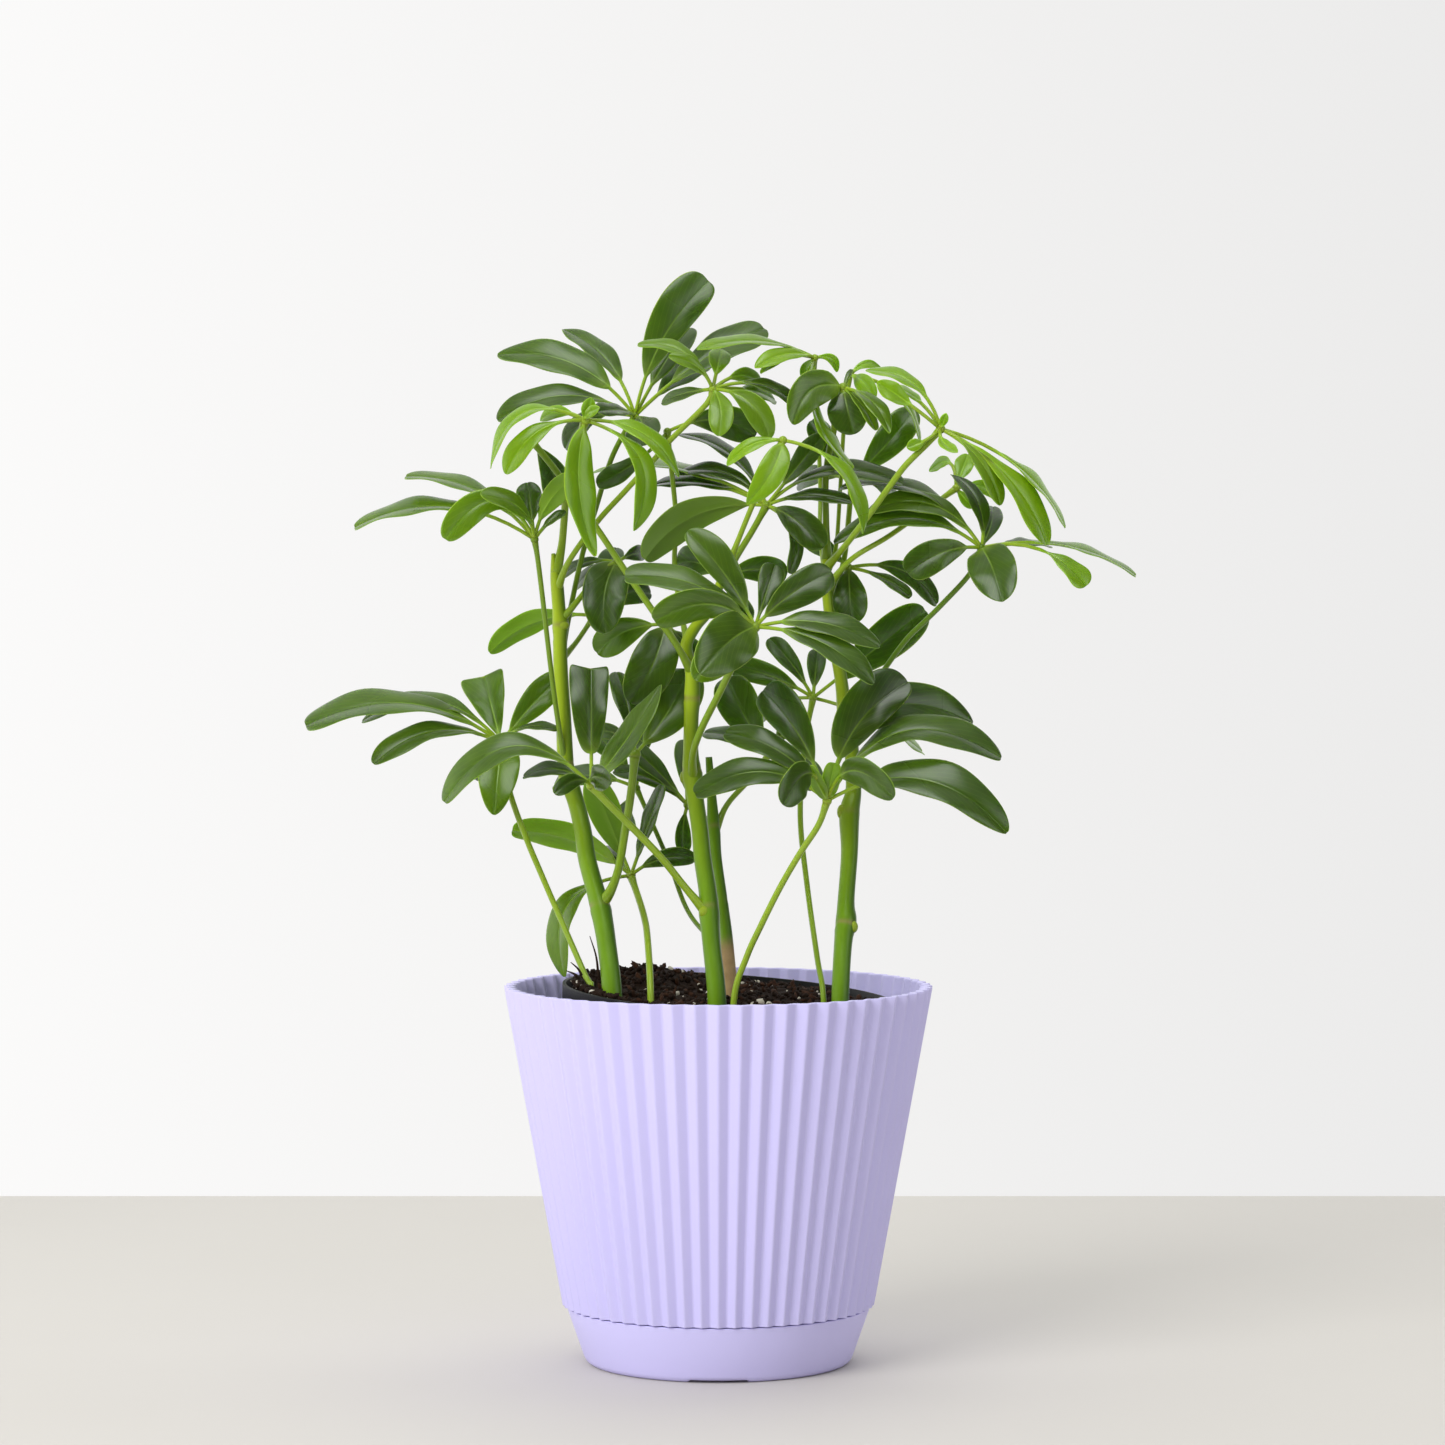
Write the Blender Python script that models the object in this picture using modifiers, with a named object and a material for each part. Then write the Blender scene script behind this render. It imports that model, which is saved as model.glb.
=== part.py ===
"""Potted dwarf umbrella tree: four woody stems and their hand-shaped compound leaves, grown in soil in a
black nursery pot, which stands inside a pleated plastic pot on its own saucer.

Metres, +Z up. The origin is the middle of the saucer's underside, and the plant's front faces -Y.
Sizes below are in millimetres and are turned to metres where the meshes are made.

The foliage is written down the way it was surveyed: from one point in front of the plant. Each place is
(x, z, y), with x and z as they read on the upright plane through the pot's axis, and y the depth behind it.
The table's top reads SURVEY_FLOOR there.
"""
import math

import bpy
import bmesh
import numpy as np

MM = 0.001
GAP = 0.3            # clearance between two pieces that touch
SURVEY_FLOOR = 1.4   # what the table's height read in the survey
SIGHT = np.array([1.45, -1610.3, 280.8])    # the point the survey was made from

# Pleated pot
RIM_RADIUS = 75.0
RIM_Z = 133.6
SEAM_RADIUS = 54.4
SEAM_Z = 20.4
PLEATS = 60
PLEAT_DEPTH = 1.0    # half the difference between a pleat's crest and its valley
WALL = 2.5
FOOT_TOP_RADIUS = 50.4
FOOT_RADIUS = 45.6
FOOT_Z = 3.9
POT_FLOOR_Z = 6.9

# Saucer
SAUCER_TOP_RADIUS = 54.0
SAUCER_TOP_Z = 20.0
SAUCER_BOTTOM_RADIUS = 47.7
SAUCER_BOTTOM_Z = 2.4
SAUCER_WALL = 2.4
SAUCER_FLOOR_Z = 3.6
STAND_OUTER_RADIUS = 44.8
STAND_INNER_RADIUS = 41.5
STAND_Z = 1.5        # how far the floor's underside stands off the table
STAND_PAD_RADIUS = 8.0
NOTCH_WIDTH = 20.0
NOTCH_TOP_Z = 1.1
NOTCHES = 3
SAUCER_SIDES = 36

# Nursery pot and soil
NURSERY_RIM_RADIUS = 59.6
NURSERY_RADIUS = 57.8
NURSERY_BASE_RADIUS = 39.0
NURSERY_WALL = 1.2
NURSERY_BOTTOM_Z = 10.1
NURSERY_TOP_Z = 131.5
NURSERY_SHIFT = -4.0  # along X, at the bottom
NURSERY_LIP = 7.0
NURSERY_LEAN = math.radians(3.9)
NURSERY_NOD = math.radians(1.3)
SOIL_Z = 130.1
SOIL_EDGE = 0.8      # how far the soil sinks to its edge
SOIL_RELIEF = 1.2
STEM_ROOT_Z = 104.0   # how far down the stems stand in the soil

# Leaflets
WIDTH_RATIO = 0.28   # a leaflet's true width over its length, stalk included
BLADE_THICKNESS = 1.2
BLADE_FOLD = 0.10    # how far the margins rise above the midrib, over the width
STALK_HALF = 0.55
BOW = 0.08           # bulge of a blade along its own face, over its length
# Stations along a blade: share of its length, and share of its half width
BLADE_STATIONS = [(0.30, 0.66), (0.62, 1.0), (0.87, 0.74), (1.0, 0.26)]
SMALL_LEAFLET = 31.0    # shorter ones have one station fewer
SMALL_STATIONS = [(0.42, 0.88), (0.80, 0.86), (1.0, 0.26)]

GREEN_STEM = (0.22, 0.42, 0.05)
BROWN_STEM = (0.16, 0.13, 0.06)
MATURE_GREEN = (0.035, 0.115, 0.02)
YOUNG_GREEN = (0.14, 0.34, 0.02)
LILAC = (0.55, 0.48, 0.86)
BLACK = (0.015, 0.015, 0.016)
SOIL_BROWN = (0.035, 0.025, 0.018)

# Stems: (x, z, y, diameter) from the soil up
STEMS = {
    "stem_left": [
        (-37.5, 130, -24, 7.0), (-39.7, 150, -17, 6.8), (-42.0, 163, -11, 7.4), (-43.4, 168, -9, 6.6),
        (-46.5, 180, -4, 6.4), (-48.0, 190, 0, 6.2), (-50.5, 200, 5, 6.0), (-53.4, 209, 5, 6.6),
        (-54.2, 214, 5, 6.0), (-54.8, 230, 5, 5.4), (-55.7, 245, 5, 5.2), (-56.0, 258, 5, 5.0),
        (-55.8, 263, 5, 6.0), (-56.4, 268, 5, 4.8), (-57.3, 279, 5, 4.4), (-58.4, 288, 6, 1.4)],
    "stem_middle": [
        (-0.5, 130, -26, 6.6), (-2.5, 150, -20, 6.4), (-3.4, 161, -16, 7.2), (-3.8, 168, -14, 6.4),
        (-5.5, 180, -10, 6.2), (-6.5, 190, -8, 6.0), (-8.3, 202, -6, 6.0), (-9.3, 210, -5, 7.2),
        (-9.8, 217, -5, 5.6), (-9.6, 230, -5, 5.2), (-9.3, 237, -5, 5.8), (-9.4, 246, -5, 4.8),
        (-11.4, 255, -4, 4.4), (-8.2, 262, -3, 4.0), (-3.2, 268, -3, 3.6), (0.5, 277, -3, 3.2),
        (4.0, 285, -3, 3.4)],
    "stem_behind": [
        (4.5, 130, -8, 4.8), (3.0, 150, -2, 4.6), (1.4, 165, 3, 3.8), (-0.6, 180, 8, 3.8),
        (-1.6, 190, 11, 4.6), (-2.4, 202, 14, 3.4), (-3.4, 216, 15, 2.4)],
    "stem_right": [
        (43.3, 130, -24, 6.2), (44.2, 150, -17, 6.4), (45.2, 158, -14, 7.4), (45.2, 165, -11, 6.0),
        (46.5, 182, -4, 6.0), (46.4, 196, 1, 7.2), (47.8, 205, 5, 5.6), (46.8, 222, 5, 5.2),
        (45.0, 228, 5, 5.6), (43.5, 243, 5, 4.6), (40.0, 262, 5, 4.2), (38.2, 276, 5, 3.6),
        (38.3, 286, 5, 3.6)],
}

# Compound leaves. "at" is the height at which the leaf stalk leaves its stem (none for one that stands in
# the soil), "way" the places the stalk passes, "hub" where the leaflets meet, "thick" the stalk's width.
# Leaflets: (tip x, tip z, depth of the tip behind the hub, width shown to the front with minus for the
# underside, rise of the midrib above its chord, bare share of the length that is stalk).
LEAVES = {
    "leaf_top_left": dict(
        stem="stem_left", at=250, thick=1.9, hub=(-29.5, 336.5, 18), colour=MATURE_GREEN,
        way=[(-52, 270, 8), (-48, 288, 11), (-43, 305, 13), (-38, 321, 15), (-33, 331, 17)],
        leaflets=[
            (-3.5, 384, 6, 15.5, 4.5, 0.25), (-10, 367.5, 20, 10, 1, 0.3), (-5, 356, 29, 9, 1, 0.3),
            (-55, 367, 20, 8, 5, 0.3), (-78, 358, 10, 11, 8, 0.22), (-78, 335, -8, 8, 8, 0.2),
            (-27, 326, -22, 13, 2, 0.15), (-43, 338, -26, 4.5, 1.5, 0.2), (-54, 325, 14, 8, 6, 0.3),
            (16, 367.3, 16, 11, 3, 0.3)]),
    "leaf_top_inner": dict(
        stem="stem_middle", at=257, thick=1.8, hub=(-18, 331, 10), colour=MATURE_GREEN,
        way=[(-13, 266, 4), (-15.5, 283, 7), (-15, 300, 8), (-16.5, 317, 9)],
        leaflets=[
            (13, 329.5, 10, 12, 5, 0.25), (-43, 312.5, -3, 7, -2, 0.35)]),
    "leaf_top_young": dict(
        stem="stem_left", at=275, thick=2.0, hub=(-2, 346, -6), colour=YOUNG_GREEN,
        way=[(-53, 285, -1), (-43, 299, -1), (-33, 310, -1), (-22, 322, -2), (-17, 328, -3), (-4, 341, -5)],
        leaflets=[
            (-28.5, 361.5, 2, 5, 6, 0.25), (-17.5, 357.5, -6, 4.5, 3, 0.25), (1, 360, 16, 8, 0, 0.3),
            (15.3, 347.5, 16, 6.5, 4, 0.3), (0, 329.5, -12, 9, 2, 0.05), (28, 340, 6, 5, 5, 0.3),
            (18, 328.5, -8, 9, 5, 0.2), (20, 342, 22, 5, 2, 0.4), (-20, 341.3, 10, 4.5, 1, 0.15)]),
    "leaf_middle_young": dict(
        stem="stem_middle", at=282, thick=1.9, hub=(22.8, 328, -20), colour=YOUNG_GREEN,
        way=[(5.5, 289, -6), (12, 305, -12), (19, 321, -19)],
        leaflets=[
            (10, 305.5, -8, 10, -2, 0.05), (51, 295, -4, 5, 9, 0.25), (3, 319, -4, 5, 3, 0.1)]),
    "leaf_middle_dark": dict(
        stem="stem_middle", at=280, thick=2.3, hub=(17, 305, 4), colour=MATURE_GREEN,
        way=[(7, 288, 0), (12, 296, 2)],
        leaflets=[
            (-26, 286, -10, -13, 7, 0.12), (-15, 316, 14, 6, 6, 0.15), (-14, 330, 20, 5, 6, 0.15),
            (-23, 312, 26, 6, 4, 0.3), (65, 312.5, -6, 6, 8.5, 0.2), (47, 306, -8, 5, 3, 0.2),
            (37, 290, -12, 11, 2, 0.15), (25, 281, -10, 4, 6, 0.2), (-44, 316.5, 34, 4.5, 7, 0.25),
            (37, 330, -2.5, 8, 0, 0.3)]),
    "leaf_top_right": dict(
        stem="stem_right", at=286, thick=2.4, hub=(44, 346.5, 5), colour=MATURE_GREEN,
        way=[(38, 300, 5), (38, 316, 5), (41, 333, 5)],
        leaflets=[
            (26.5, 333.5, -14, 13, 6, 0.05), (60.5, 330.5, -18, 5, 3.5, 0.2), (55.5, 331.5, -13, 4, 1.5, 0.1),
            (47.5, 330, -6, 14.5, 0, 0.12), (47, 353, 4, 2, 0, 0.2)]),
    "leaf_tip_young": dict(
        stem="stem_right", at=277, thick=1.6, hub=(34, 357, 8), colour=YOUNG_GREEN,
        way=[(36, 294, 18), (36, 312, 30), (35, 335, 28), (34, 350, 14)],
        leaflets=[
            (-7.5, 359.8, -12, 3.2, 4.5, 0.12), (13, 353.5, -16, 5, 3, 0.1), (15, 351.5, -13, 2.5, 3, 0.1),
            (29.5, 350, -3, 5, 0, 0.1), (41.8, 352, 4, 3.5, 3, 0.1), (47.5, 318, -16, 4.5, -6, 0.3)]),
    "leaf_tip_small": dict(
        stem="stem_right", at=280, thick=1.5, hub=(46.5, 351, 16), colour=YOUNG_GREEN,
        way=[(41.5, 290, 10), (43, 310, 15), (44.5, 335, 15)],
        leaflets=[
            (71, 326.5, 4, 3, 7, 0.3), (55.5, 343, -14, 7, 1, 0.15), (58, 352.5, 6, 3, 3, 0.1)]),
    "leaf_right_behind": dict(
        stem="stem_right", at=270, thick=2.0, hub=(47, 314, 24), colour=MATURE_GREEN,
        way=[(44, 284, 16), (46, 300, 22)],
        leaflets=[
            (33, 335, 2, 9, 0, 0.15), (69, 339, 6, 12, -1, 0.15), (28, 312, 24, 8, 3, 0.2),
            (62, 308, 26, 8, 3, 0.2)]),
    "leaf_right_high": dict(
        stem="stem_right", at=283, thick=2.2, hub=(78.5, 332, -10), colour=YOUNG_GREEN,
        way=[(45, 291, -5), (52, 300, -12), (60, 311, -15), (66, 319, -15), (74, 327, -12)],
        leaflets=[
            (52, 352.5, 6, 5, 6.5, 0.3), (58, 348, 14, 3.5, 3, 0.4), (56, 348.5, -4, 6.5, 0.5, 0.5),
            (99.5, 305, -4, 7, 4, 0.2), (116, 291, 2, 8.5, 6, 0.15), (122.5, 297, 14, 4.5, 6.5, 0.35),
            (84.5, 323.8, -14, 4, -2, 0.3), (80.5, 337.5, -6, 3, 0, 0.25), (66.5, 325.5, -6, 4.5, -1, 0.6)]),
    "leaf_right_small": dict(
        stem="stem_right", at=276, thick=1.9, hub=(84, 311, 17), colour=YOUNG_GREEN,
        way=[(47, 286, -3), (60, 294, 4), (72, 302.5, 14)],
        leaflets=[
            (88, 323, 8, 7, 0, 0.2), (74.5, 317, 14, 5.5, 6.5, 0.5), (90, 304, 2, 4, 0, 0.1),
            (98, 307, 14, 5, 3, 0.2)]),
    "leaf_right_long": dict(
        stem="stem_right", at=226, thick=1.9, hub=(93, 290, 0), colour=MATURE_GREEN,
        way=[(56, 243, 4), (66, 257, 4), (73, 264, 3), (80, 271, 2), (89, 281, 1)],
        leaflets=[
            (82, 316, 10, 6, 5, 0.15), (97, 304.5, 20, 7.5, -1, 0.1), (67, 281, -10, 12, 3, 0.2),
            (100.5, 271, -20, 17, 1, 0.03), (147.5, 280, 6, 2.6, 6, 0.3), (130, 276.5, -10, 6.5, 6.5, 0.5),
            (117, 290.5, 20, 3.5, 1.5, 0.3), (53, 303, 2, 8, 9, 0.15), (41, 291.5, 3, 8, 10, 0.15),
            (43, 311, 10, 5, 10, 0.2)]),
    "leaf_right_inner": dict(
        stem="stem_right", at=262, thick=2.0, hub=(46, 283, 13), colour=MATURE_GREEN,
        way=[(43, 272, 10)],
        leaflets=[
            (30.5, 293.5, 12, 7.5, 1, 0.15), (47, 263, -12, 12.5, 0, 0.05), (77, 270, 8, 9, 6.5, 0.25),
            (68, 272.5, -6, 4, 2, 0.3)]),
    "leaf_left_young": dict(
        stem="stem_left", at=281, thick=2.6, hub=(-47, 335, -16), colour=YOUNG_GREEN,
        way=[(-55.5, 290, 6), (-54.5, 300, 5), (-53.8, 308, 2), (-51, 322, -7)],
        leaflets=[
            (-80.5, 318, -4, 4, 12, 0.2), (-75, 316, -10, 7.5, 6, 0.2), (-63, 335, 10, 5, 3, 0.25),
            (-43.5, 287, -10, 11, -4, 0.05), (-14, 315, 4, 6.5, 6.5, 0.2), (-30, 296, -8, 7, 12, 0.15),
            (-45, 343, -6, 5, 0, 0.1), (-42, 339.5, -12, 3.5, 1, 0.2)]),
    "leaf_left_hidden": dict(
        stem="stem_middle", at=246, thick=2.3, hub=(-67, 329, -4), colour=MATURE_GREEN,
        way=[(-15, 256, -12), (-22, 266, -14), (-33, 282, -12), (-43, 297, -9), (-55, 314, -6),
             (-62, 323, -5)],
        leaflets=[
            (-57, 305, 18, 11, 3, 0.15)]),
    "leaf_left_upper": dict(
        stem="stem_left", at=212, thick=1.8, hub=(-65, 293, -14), colour=MATURE_GREEN,
        way=[(-57, 230, -2), (-59, 245, -5), (-61, 262, -8), (-62.5, 275, -11), (-64, 287, -13)],
        leaflets=[
            (-128.5, 297, 4, 6.5, 9.5, 0.3), (-110.5, 315, 10, 5.5, 6.5, 0.2),
            (-96.5, 293, -14, 10.5, 13.5, 0.12), (-84, 309, -20, 6, 5, 0.2), (-67.5, 313, 8, 9, 0, 0.3),
            (-50, 315.5, 0, -8.5, 3, 0.25), (-54, 303, 4, 3, 1, 0.3)]),
    "leaf_left_behind": dict(
        stem="stem_left", at=250, thick=1.8, hub=(-44, 266, 22), colour=MATURE_GREEN,
        way=[(-50, 257, 14)],
        leaflets=[
            (-81, 253, 4, -9, 5, 0.15), (-36, 290, 22, 9, 1, 0.15), (-24, 274, 20, 9, 3, 0.15)]),
    "leaf_centre_dark": dict(
        stem="stem_middle", at=249, thick=1.9, hub=(-19, 263, 6), colour=MATURE_GREEN,
        way=[(-14, 255, 1)],
        leaflets=[
            (-31.5, 235.5, -12, 16.5, -2, 0.05), (-43, 253, 4, 12, 3, 0.15), (-6, 246, 16, 10, 2, 0.15)]),
    "leaf_centre_behind": dict(
        stem="stem_middle", at=268, thick=1.9, hub=(1, 279, 9), colour=MATURE_GREEN,
        way=[(-1.5, 274, 5)],
        leaflets=[
            (-15, 284, 10, 12, 3, 0.15), (24, 280, 4, 10, 3, 0.15), (8, 262, 20, 10, 2, 0.15)]),
    "leaf_left_dark": dict(
        stem="stem_left", at=264, thick=1.9, hub=(-36, 285, 12), colour=MATURE_GREEN,
        way=[(-50, 271, 3), (-42, 281, 8)],
        leaflets=[
            (-40, 259.8, -16, 16, 2.5, 0.03), (-56, 279, 8, 4, 3, 0.2), (-26, 288, 16, 6, 1, 0.2),
            (-50, 276, 14, 5, 2, 0.2)]),
    "leaf_far_left": dict(
        stem=None, thick=2.1, hub=(-77, 221, 12), colour=MATURE_GREEN,
        way=[(-45, 133, -18), (-47, 138, -15), (-57, 161, -4), (-63, 175, 0), (-68, 187, 3),
             (-74, 204, 9)],
        leaflets=[
            (-146, 227, -9, 8.5, 11, 0.15), (-126, 228.5, 7, 6.5, 11, 0.15), (-122, 213.5, -18, 6, 8, 0.15),
            (-83, 245, 14, 16, 0, 0.1), (-55, 245, 12, 11, 1, 0.15), (-57, 225.5, -10, 2.6, 3.5, 0.3),
            (-79.5, 195.5, -16, 15, 0, 0.05), (-86, 208, 16, 8, 1, 0.3)]),
    "leaf_left_front": dict(
        stem="stem_middle", at=161, thick=2.6, hub=(-45, 206, -28), colour=MATURE_GREEN,
        way=[(-12, 170, -18), (-20, 180, -21), (-30, 190.5, -24), (-40, 200.5, -27)],
        leaflets=[
            (-97, 200, -6, 9.5, 16.5, 0.15), (-45, 248, 12, 14, 0, 0.25), (-20.2, 241.5, 8, 9, -1, 0.12),
            (-38, 206.5, -24, 9, 3, 0.2), (-58, 203, -18, 6, 3, 0.2), (-69, 209, 12, 6, 4, 0.2)]),
    "leaf_centre_front": dict(
        stem="stem_middle", at=208, thick=2.5, hub=(13, 262, -36), colour=MATURE_GREEN,
        way=[(-9, 217, -14), (-6, 226, -20), (0, 238, -28), (5, 248, -33)],
        leaflets=[
            (-11, 295.7, 4, 11, 2, 0.15), (-33, 280, -2, 8.5, 6, 0.15), (-22.5, 264, -10, 11.5, 7, 0.15),
            (-6.5, 245.5, -24, 19, 2, 0.02), (-8.5, 243.5, -14, 14, 1, 0.15), (20, 284, 10, 9, 0, 0.15),
            (40, 281.5, 6, 12.5, 2, 0.15), (57, 255, 0, 8, 5, 0.2), (55, 242, -8, 9, 5, 0.2)]),
    "leaf_low_right": dict(
        stem=None, thick=2.2, hub=(38.5, 200.5, -36), colour=MATURE_GREEN,
        way=[(5.5, 130, -32), (10, 145, -30), (15, 156, -30), (22, 170, -30), (29, 182, -32),
             (35.5, 192, -34.5)],
        leaflets=[
            (-8, 202.5, -4, 10.5, 9, 0.25), (23, 199, -24, 12, 10, 0.42), (2.5, 224.5, 6, 9, 5, 0.2),
            (15.8, 239.5, 10, 14, 3, 0.3), (66.9, 242.7, 8, 17, 6, 0.28), (100, 215.5, 4, 8, 17, 0.2),
            (102, 189, -10, 12, 13, 0.2), (62, 201.5, -26, 10.5, 10, 0.3), (90, 228, 22, 16, 19, 0.3),
            (31.7, 212.8, -10, 5, 0, 0.1), (41, 214, -6, 6.5, 0, 0.1)]),
    "leaf_back_right": dict(
        stem=None, thick=2.0, hub=(33.5, 237, 28), colour=MATURE_GREEN,
        way=[(37.3, 130, -20), (35, 145, -8), (31.5, 170, 10), (29, 195, 20), (30.5, 220, 26)],
        leaflets=[
            (4, 248, 6, 9, 2, 0.2), (18, 258, 10, 7, 1, 0.2), (35, 254, 12, 7, 0, 0.2),
            (73, 268, 2, 15, 0, 0.2), (72, 217.5, 30, 5, 3, 0.4), (14, 228, 34, 10, 4, 0.2)]),
    "leaf_back_centre": dict(
        stem="stem_behind", at=188, thick=2.0, hub=(18, 217, 24), colour=MATURE_GREEN,
        way=[(3, 199, 16), (11, 208, 20)],
        leaflets=[
            (3, 244, 4, 15, -1, 0.15), (-5, 224.5, 20, 6, 2, 0.15), (30, 232, 24, 9, 1, 0.2),
            (34, 205, 22, 9, 4, 0.2)]),
    "leaf_low_left": dict(
        stem=None, thick=2.4, hub=(-31, 174, 17), colour=MATURE_GREEN,
        way=[(-24, 130, -22), (-25, 150, -6), (-26.5, 160, 5)],
        leaflets=[
            (-45, 209, 8, -12, 0, 0.2), (-73, 190, -4, -10.5, 4.5, 0.15), (-54.5, 138, -10, 8.5, 13, 0.2),
            (-41, 184, 24, 6, 1, 0.2), (-20, 206, 4, 6, 0, 0.2), (-8, 180, 2, 7, 3, 0.2)]),
    "leaf_centre_left": dict(
        stem="stem_left", at=164, thick=2.9, hub=(-29.5, 217, -8), colour=MATURE_GREEN,
        way=[(-38.5, 168, -12), (-35.5, 176, -11), (-33, 190, -7), (-31, 203, -7)],
        leaflets=[
            (-11, 247, 22, 18, -2, 0.12), (-36, 246, 20, 9, 1, 0.2), (-46, 224, 8, 6, 4, 0.2)]),
    "leaf_back_left": dict(
        stem="stem_behind", at=192, thick=1.8, hub=(-11, 199, 26), colour=MATURE_GREEN,
        way=[(-6, 195, 20)],
        leaflets=[
            (-37, 211, 8, 6, 3, 0.15), (-35, 223, 6, 7, 1, 0.15), (-12, 222, 18, 8, 0, 0.2),
            (-12, 182, -4, 6, 1, 0.2)]),
    "leaf_back_low": dict(
        stem="stem_behind", at=146, thick=1.7, hub=(-29, 205, 34), colour=MATURE_GREEN,
        way=[(-10, 160, 19), (-18, 180, 26)],
        leaflets=[
            (-50, 228, 14, 10, 3, 0.2), (-22, 240, 20, 10, 1, 0.2), (-58, 206, 22, 9, 4, 0.2),
            (-30, 190, 28, 9, 4, 0.2)]),
}


def spot(x, z, y):
    """The point at depth y on the line from the sighting point through (x, 0, z)."""
    return SIGHT + (np.array([x, 0.0, z - SURVEY_FLOOR]) - SIGHT) * (1 - y / SIGHT[1])


def unit(v):
    """The vector at length 1."""
    return v / np.linalg.norm(v)


def clear_scene():
    """Remove what the opening file holds."""
    for obj in list(bpy.data.objects):
        bpy.data.objects.remove(obj)


def collection(name):
    """A new collection in the scene."""
    made = bpy.data.collections.new(name)
    bpy.context.scene.collection.children.link(made)
    return made


def material(name, colour, roughness):
    """A plain non-metal finish."""
    made = bpy.data.materials.new(name)
    made.use_nodes = True
    shader = made.node_tree.nodes["Principled BSDF"]
    shader.inputs["Base Color"].default_value = (*colour, 1)
    shader.inputs["Roughness"].default_value = roughness
    shader.inputs["Metallic"].default_value = 0.0
    return made


def add_mesh(name, verts, faces, home):
    """A mesh object from points in millimetres."""
    mesh = bpy.data.meshes.new(name)
    mesh.from_pydata((np.asarray(verts) * MM).tolist(), [], faces)
    obj = bpy.data.objects.new(name, mesh)
    home.objects.link(obj)
    return obj


def evaluated_mesh(obj):
    """The object's mesh with its modifiers or its bevel worked in."""
    graph = bpy.context.evaluated_depsgraph_get()
    return bpy.data.meshes.new_from_object(obj.evaluated_get(graph))


def apply_modifiers(obj):
    """Make the modifiers' result the object's own mesh."""
    mesh = evaluated_mesh(obj)
    obj.modifiers.clear()
    obj.data = mesh


def weld(mesh):
    """Join the points that lie on each other."""
    bm = bmesh.new()
    bm.from_mesh(mesh)
    bmesh.ops.remove_doubles(bm, verts=bm.verts, dist=0.01 * MM)
    bm.to_mesh(mesh)
    bm.free()


def boolean(obj, operation, other):
    """Join or cut obj with an object or with every object of a collection, at once."""
    mod = obj.modifiers.new(operation.lower(), "BOOLEAN")
    mod.operation = operation
    if isinstance(other, bpy.types.Collection):
        mod.operand_type = "COLLECTION"
        mod.collection = other
    else:
        mod.object = other
    apply_modifiers(obj)


def smooth_way(points, step):
    """A Catmull-Rom curve through the points, with a point about every step and at both ends."""
    pts = np.array([2 * points[0] - points[1], *points, 2 * points[-1] - points[-2]])
    out = []
    for a, b, c, d in zip(pts, pts[1:], pts[2:], pts[3:]):
        count = max(1, round(np.linalg.norm((c - b)[:3]) / step))
        for t in np.arange(count) / count:
            out.append(0.5 * (2 * b + (c - a) * t + (2 * a - 5 * b + 4 * c - d) * t**2
                              + (3 * b - a - 3 * c + d) * t**3))
    return np.array(out + [points[-1]])


def tube(name, points, radii, sides_level, home):
    """A round rod along the points, whose radius changes from point to point."""
    curve = bpy.data.curves.new(name, "CURVE")
    curve.dimensions = "3D"
    curve.bevel_depth = 1.0
    curve.bevel_resolution = sides_level
    curve.use_fill_caps = True
    spline = curve.splines.new("POLY")
    spline.points.add(len(points) - 1)
    for knot, place, radius in zip(spline.points, points, radii):
        knot.co = (*(place * MM), 1)
        knot.radius = radius * MM
    rod = bpy.data.objects.new(name + "_curve", curve)
    home.objects.link(rod)
    mesh = evaluated_mesh(rod)
    weld(mesh)
    obj = bpy.data.objects.new(name, mesh)
    obj.matrix_world = rod.matrix_world
    home.objects.link(obj)
    bpy.data.objects.remove(rod)
    return obj


def turned(name, profile, steps, home):
    """A closed profile of (radius, z) turned round the Z axis. Its outer side runs from top to bottom."""
    mesh = bpy.data.meshes.new(name)
    count = len(profile)
    verts = [(r * MM, 0, z * MM) for r, z in profile]
    closed = profile[0][0] > 0
    edges = [(i, (i + 1) % count) for i in range(count if closed else count - 1)]
    mesh.from_pydata(verts, edges, [])
    obj = bpy.data.objects.new(name, mesh)
    home.objects.link(obj)
    screw = obj.modifiers.new("turn", "SCREW")
    screw.steps = steps
    screw.render_steps = steps
    screw.use_merge_vertices = True
    screw.merge_threshold = 0.01 * MM
    screw.use_normal_calculate = False
    apply_modifiers(obj)
    weld(obj.data)
    return obj


def stem_line(name, step=14.0):
    """Centre line of a stem, with its radius as a fourth number, from inside the soil to its top."""
    rows = [np.array([*spot(x, z, y), d / 2]) for x, z, y, d in STEMS[name]]
    foot = rows[0].copy()
    foot[2] = STEM_ROOT_Z
    return smooth_way([foot, *rows], step)


def stem_centre(name, z):
    """The stem's centre at a height, by straight interpolation along its line."""
    line = stem_line(name)
    return np.array([np.interp(z, line[:, 2], line[:, k]) for k in range(3)])


def leaf_stalk_line(leaf, step=13.0):
    """Centre line of a leaf stalk, from its stem's centre or from inside the soil up to the hub."""
    way = [spot(*p) for p in leaf["way"]] + [spot(*leaf["hub"])]
    if leaf["stem"]:
        foot = stem_centre(leaf["stem"], leaf["at"] - SURVEY_FLOOR)
    else:
        foot = way[0] * np.array([1, 1, 0]) + np.array([0, 0, STEM_ROOT_Z])
    return smooth_way([foot, *way], step)


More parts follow.
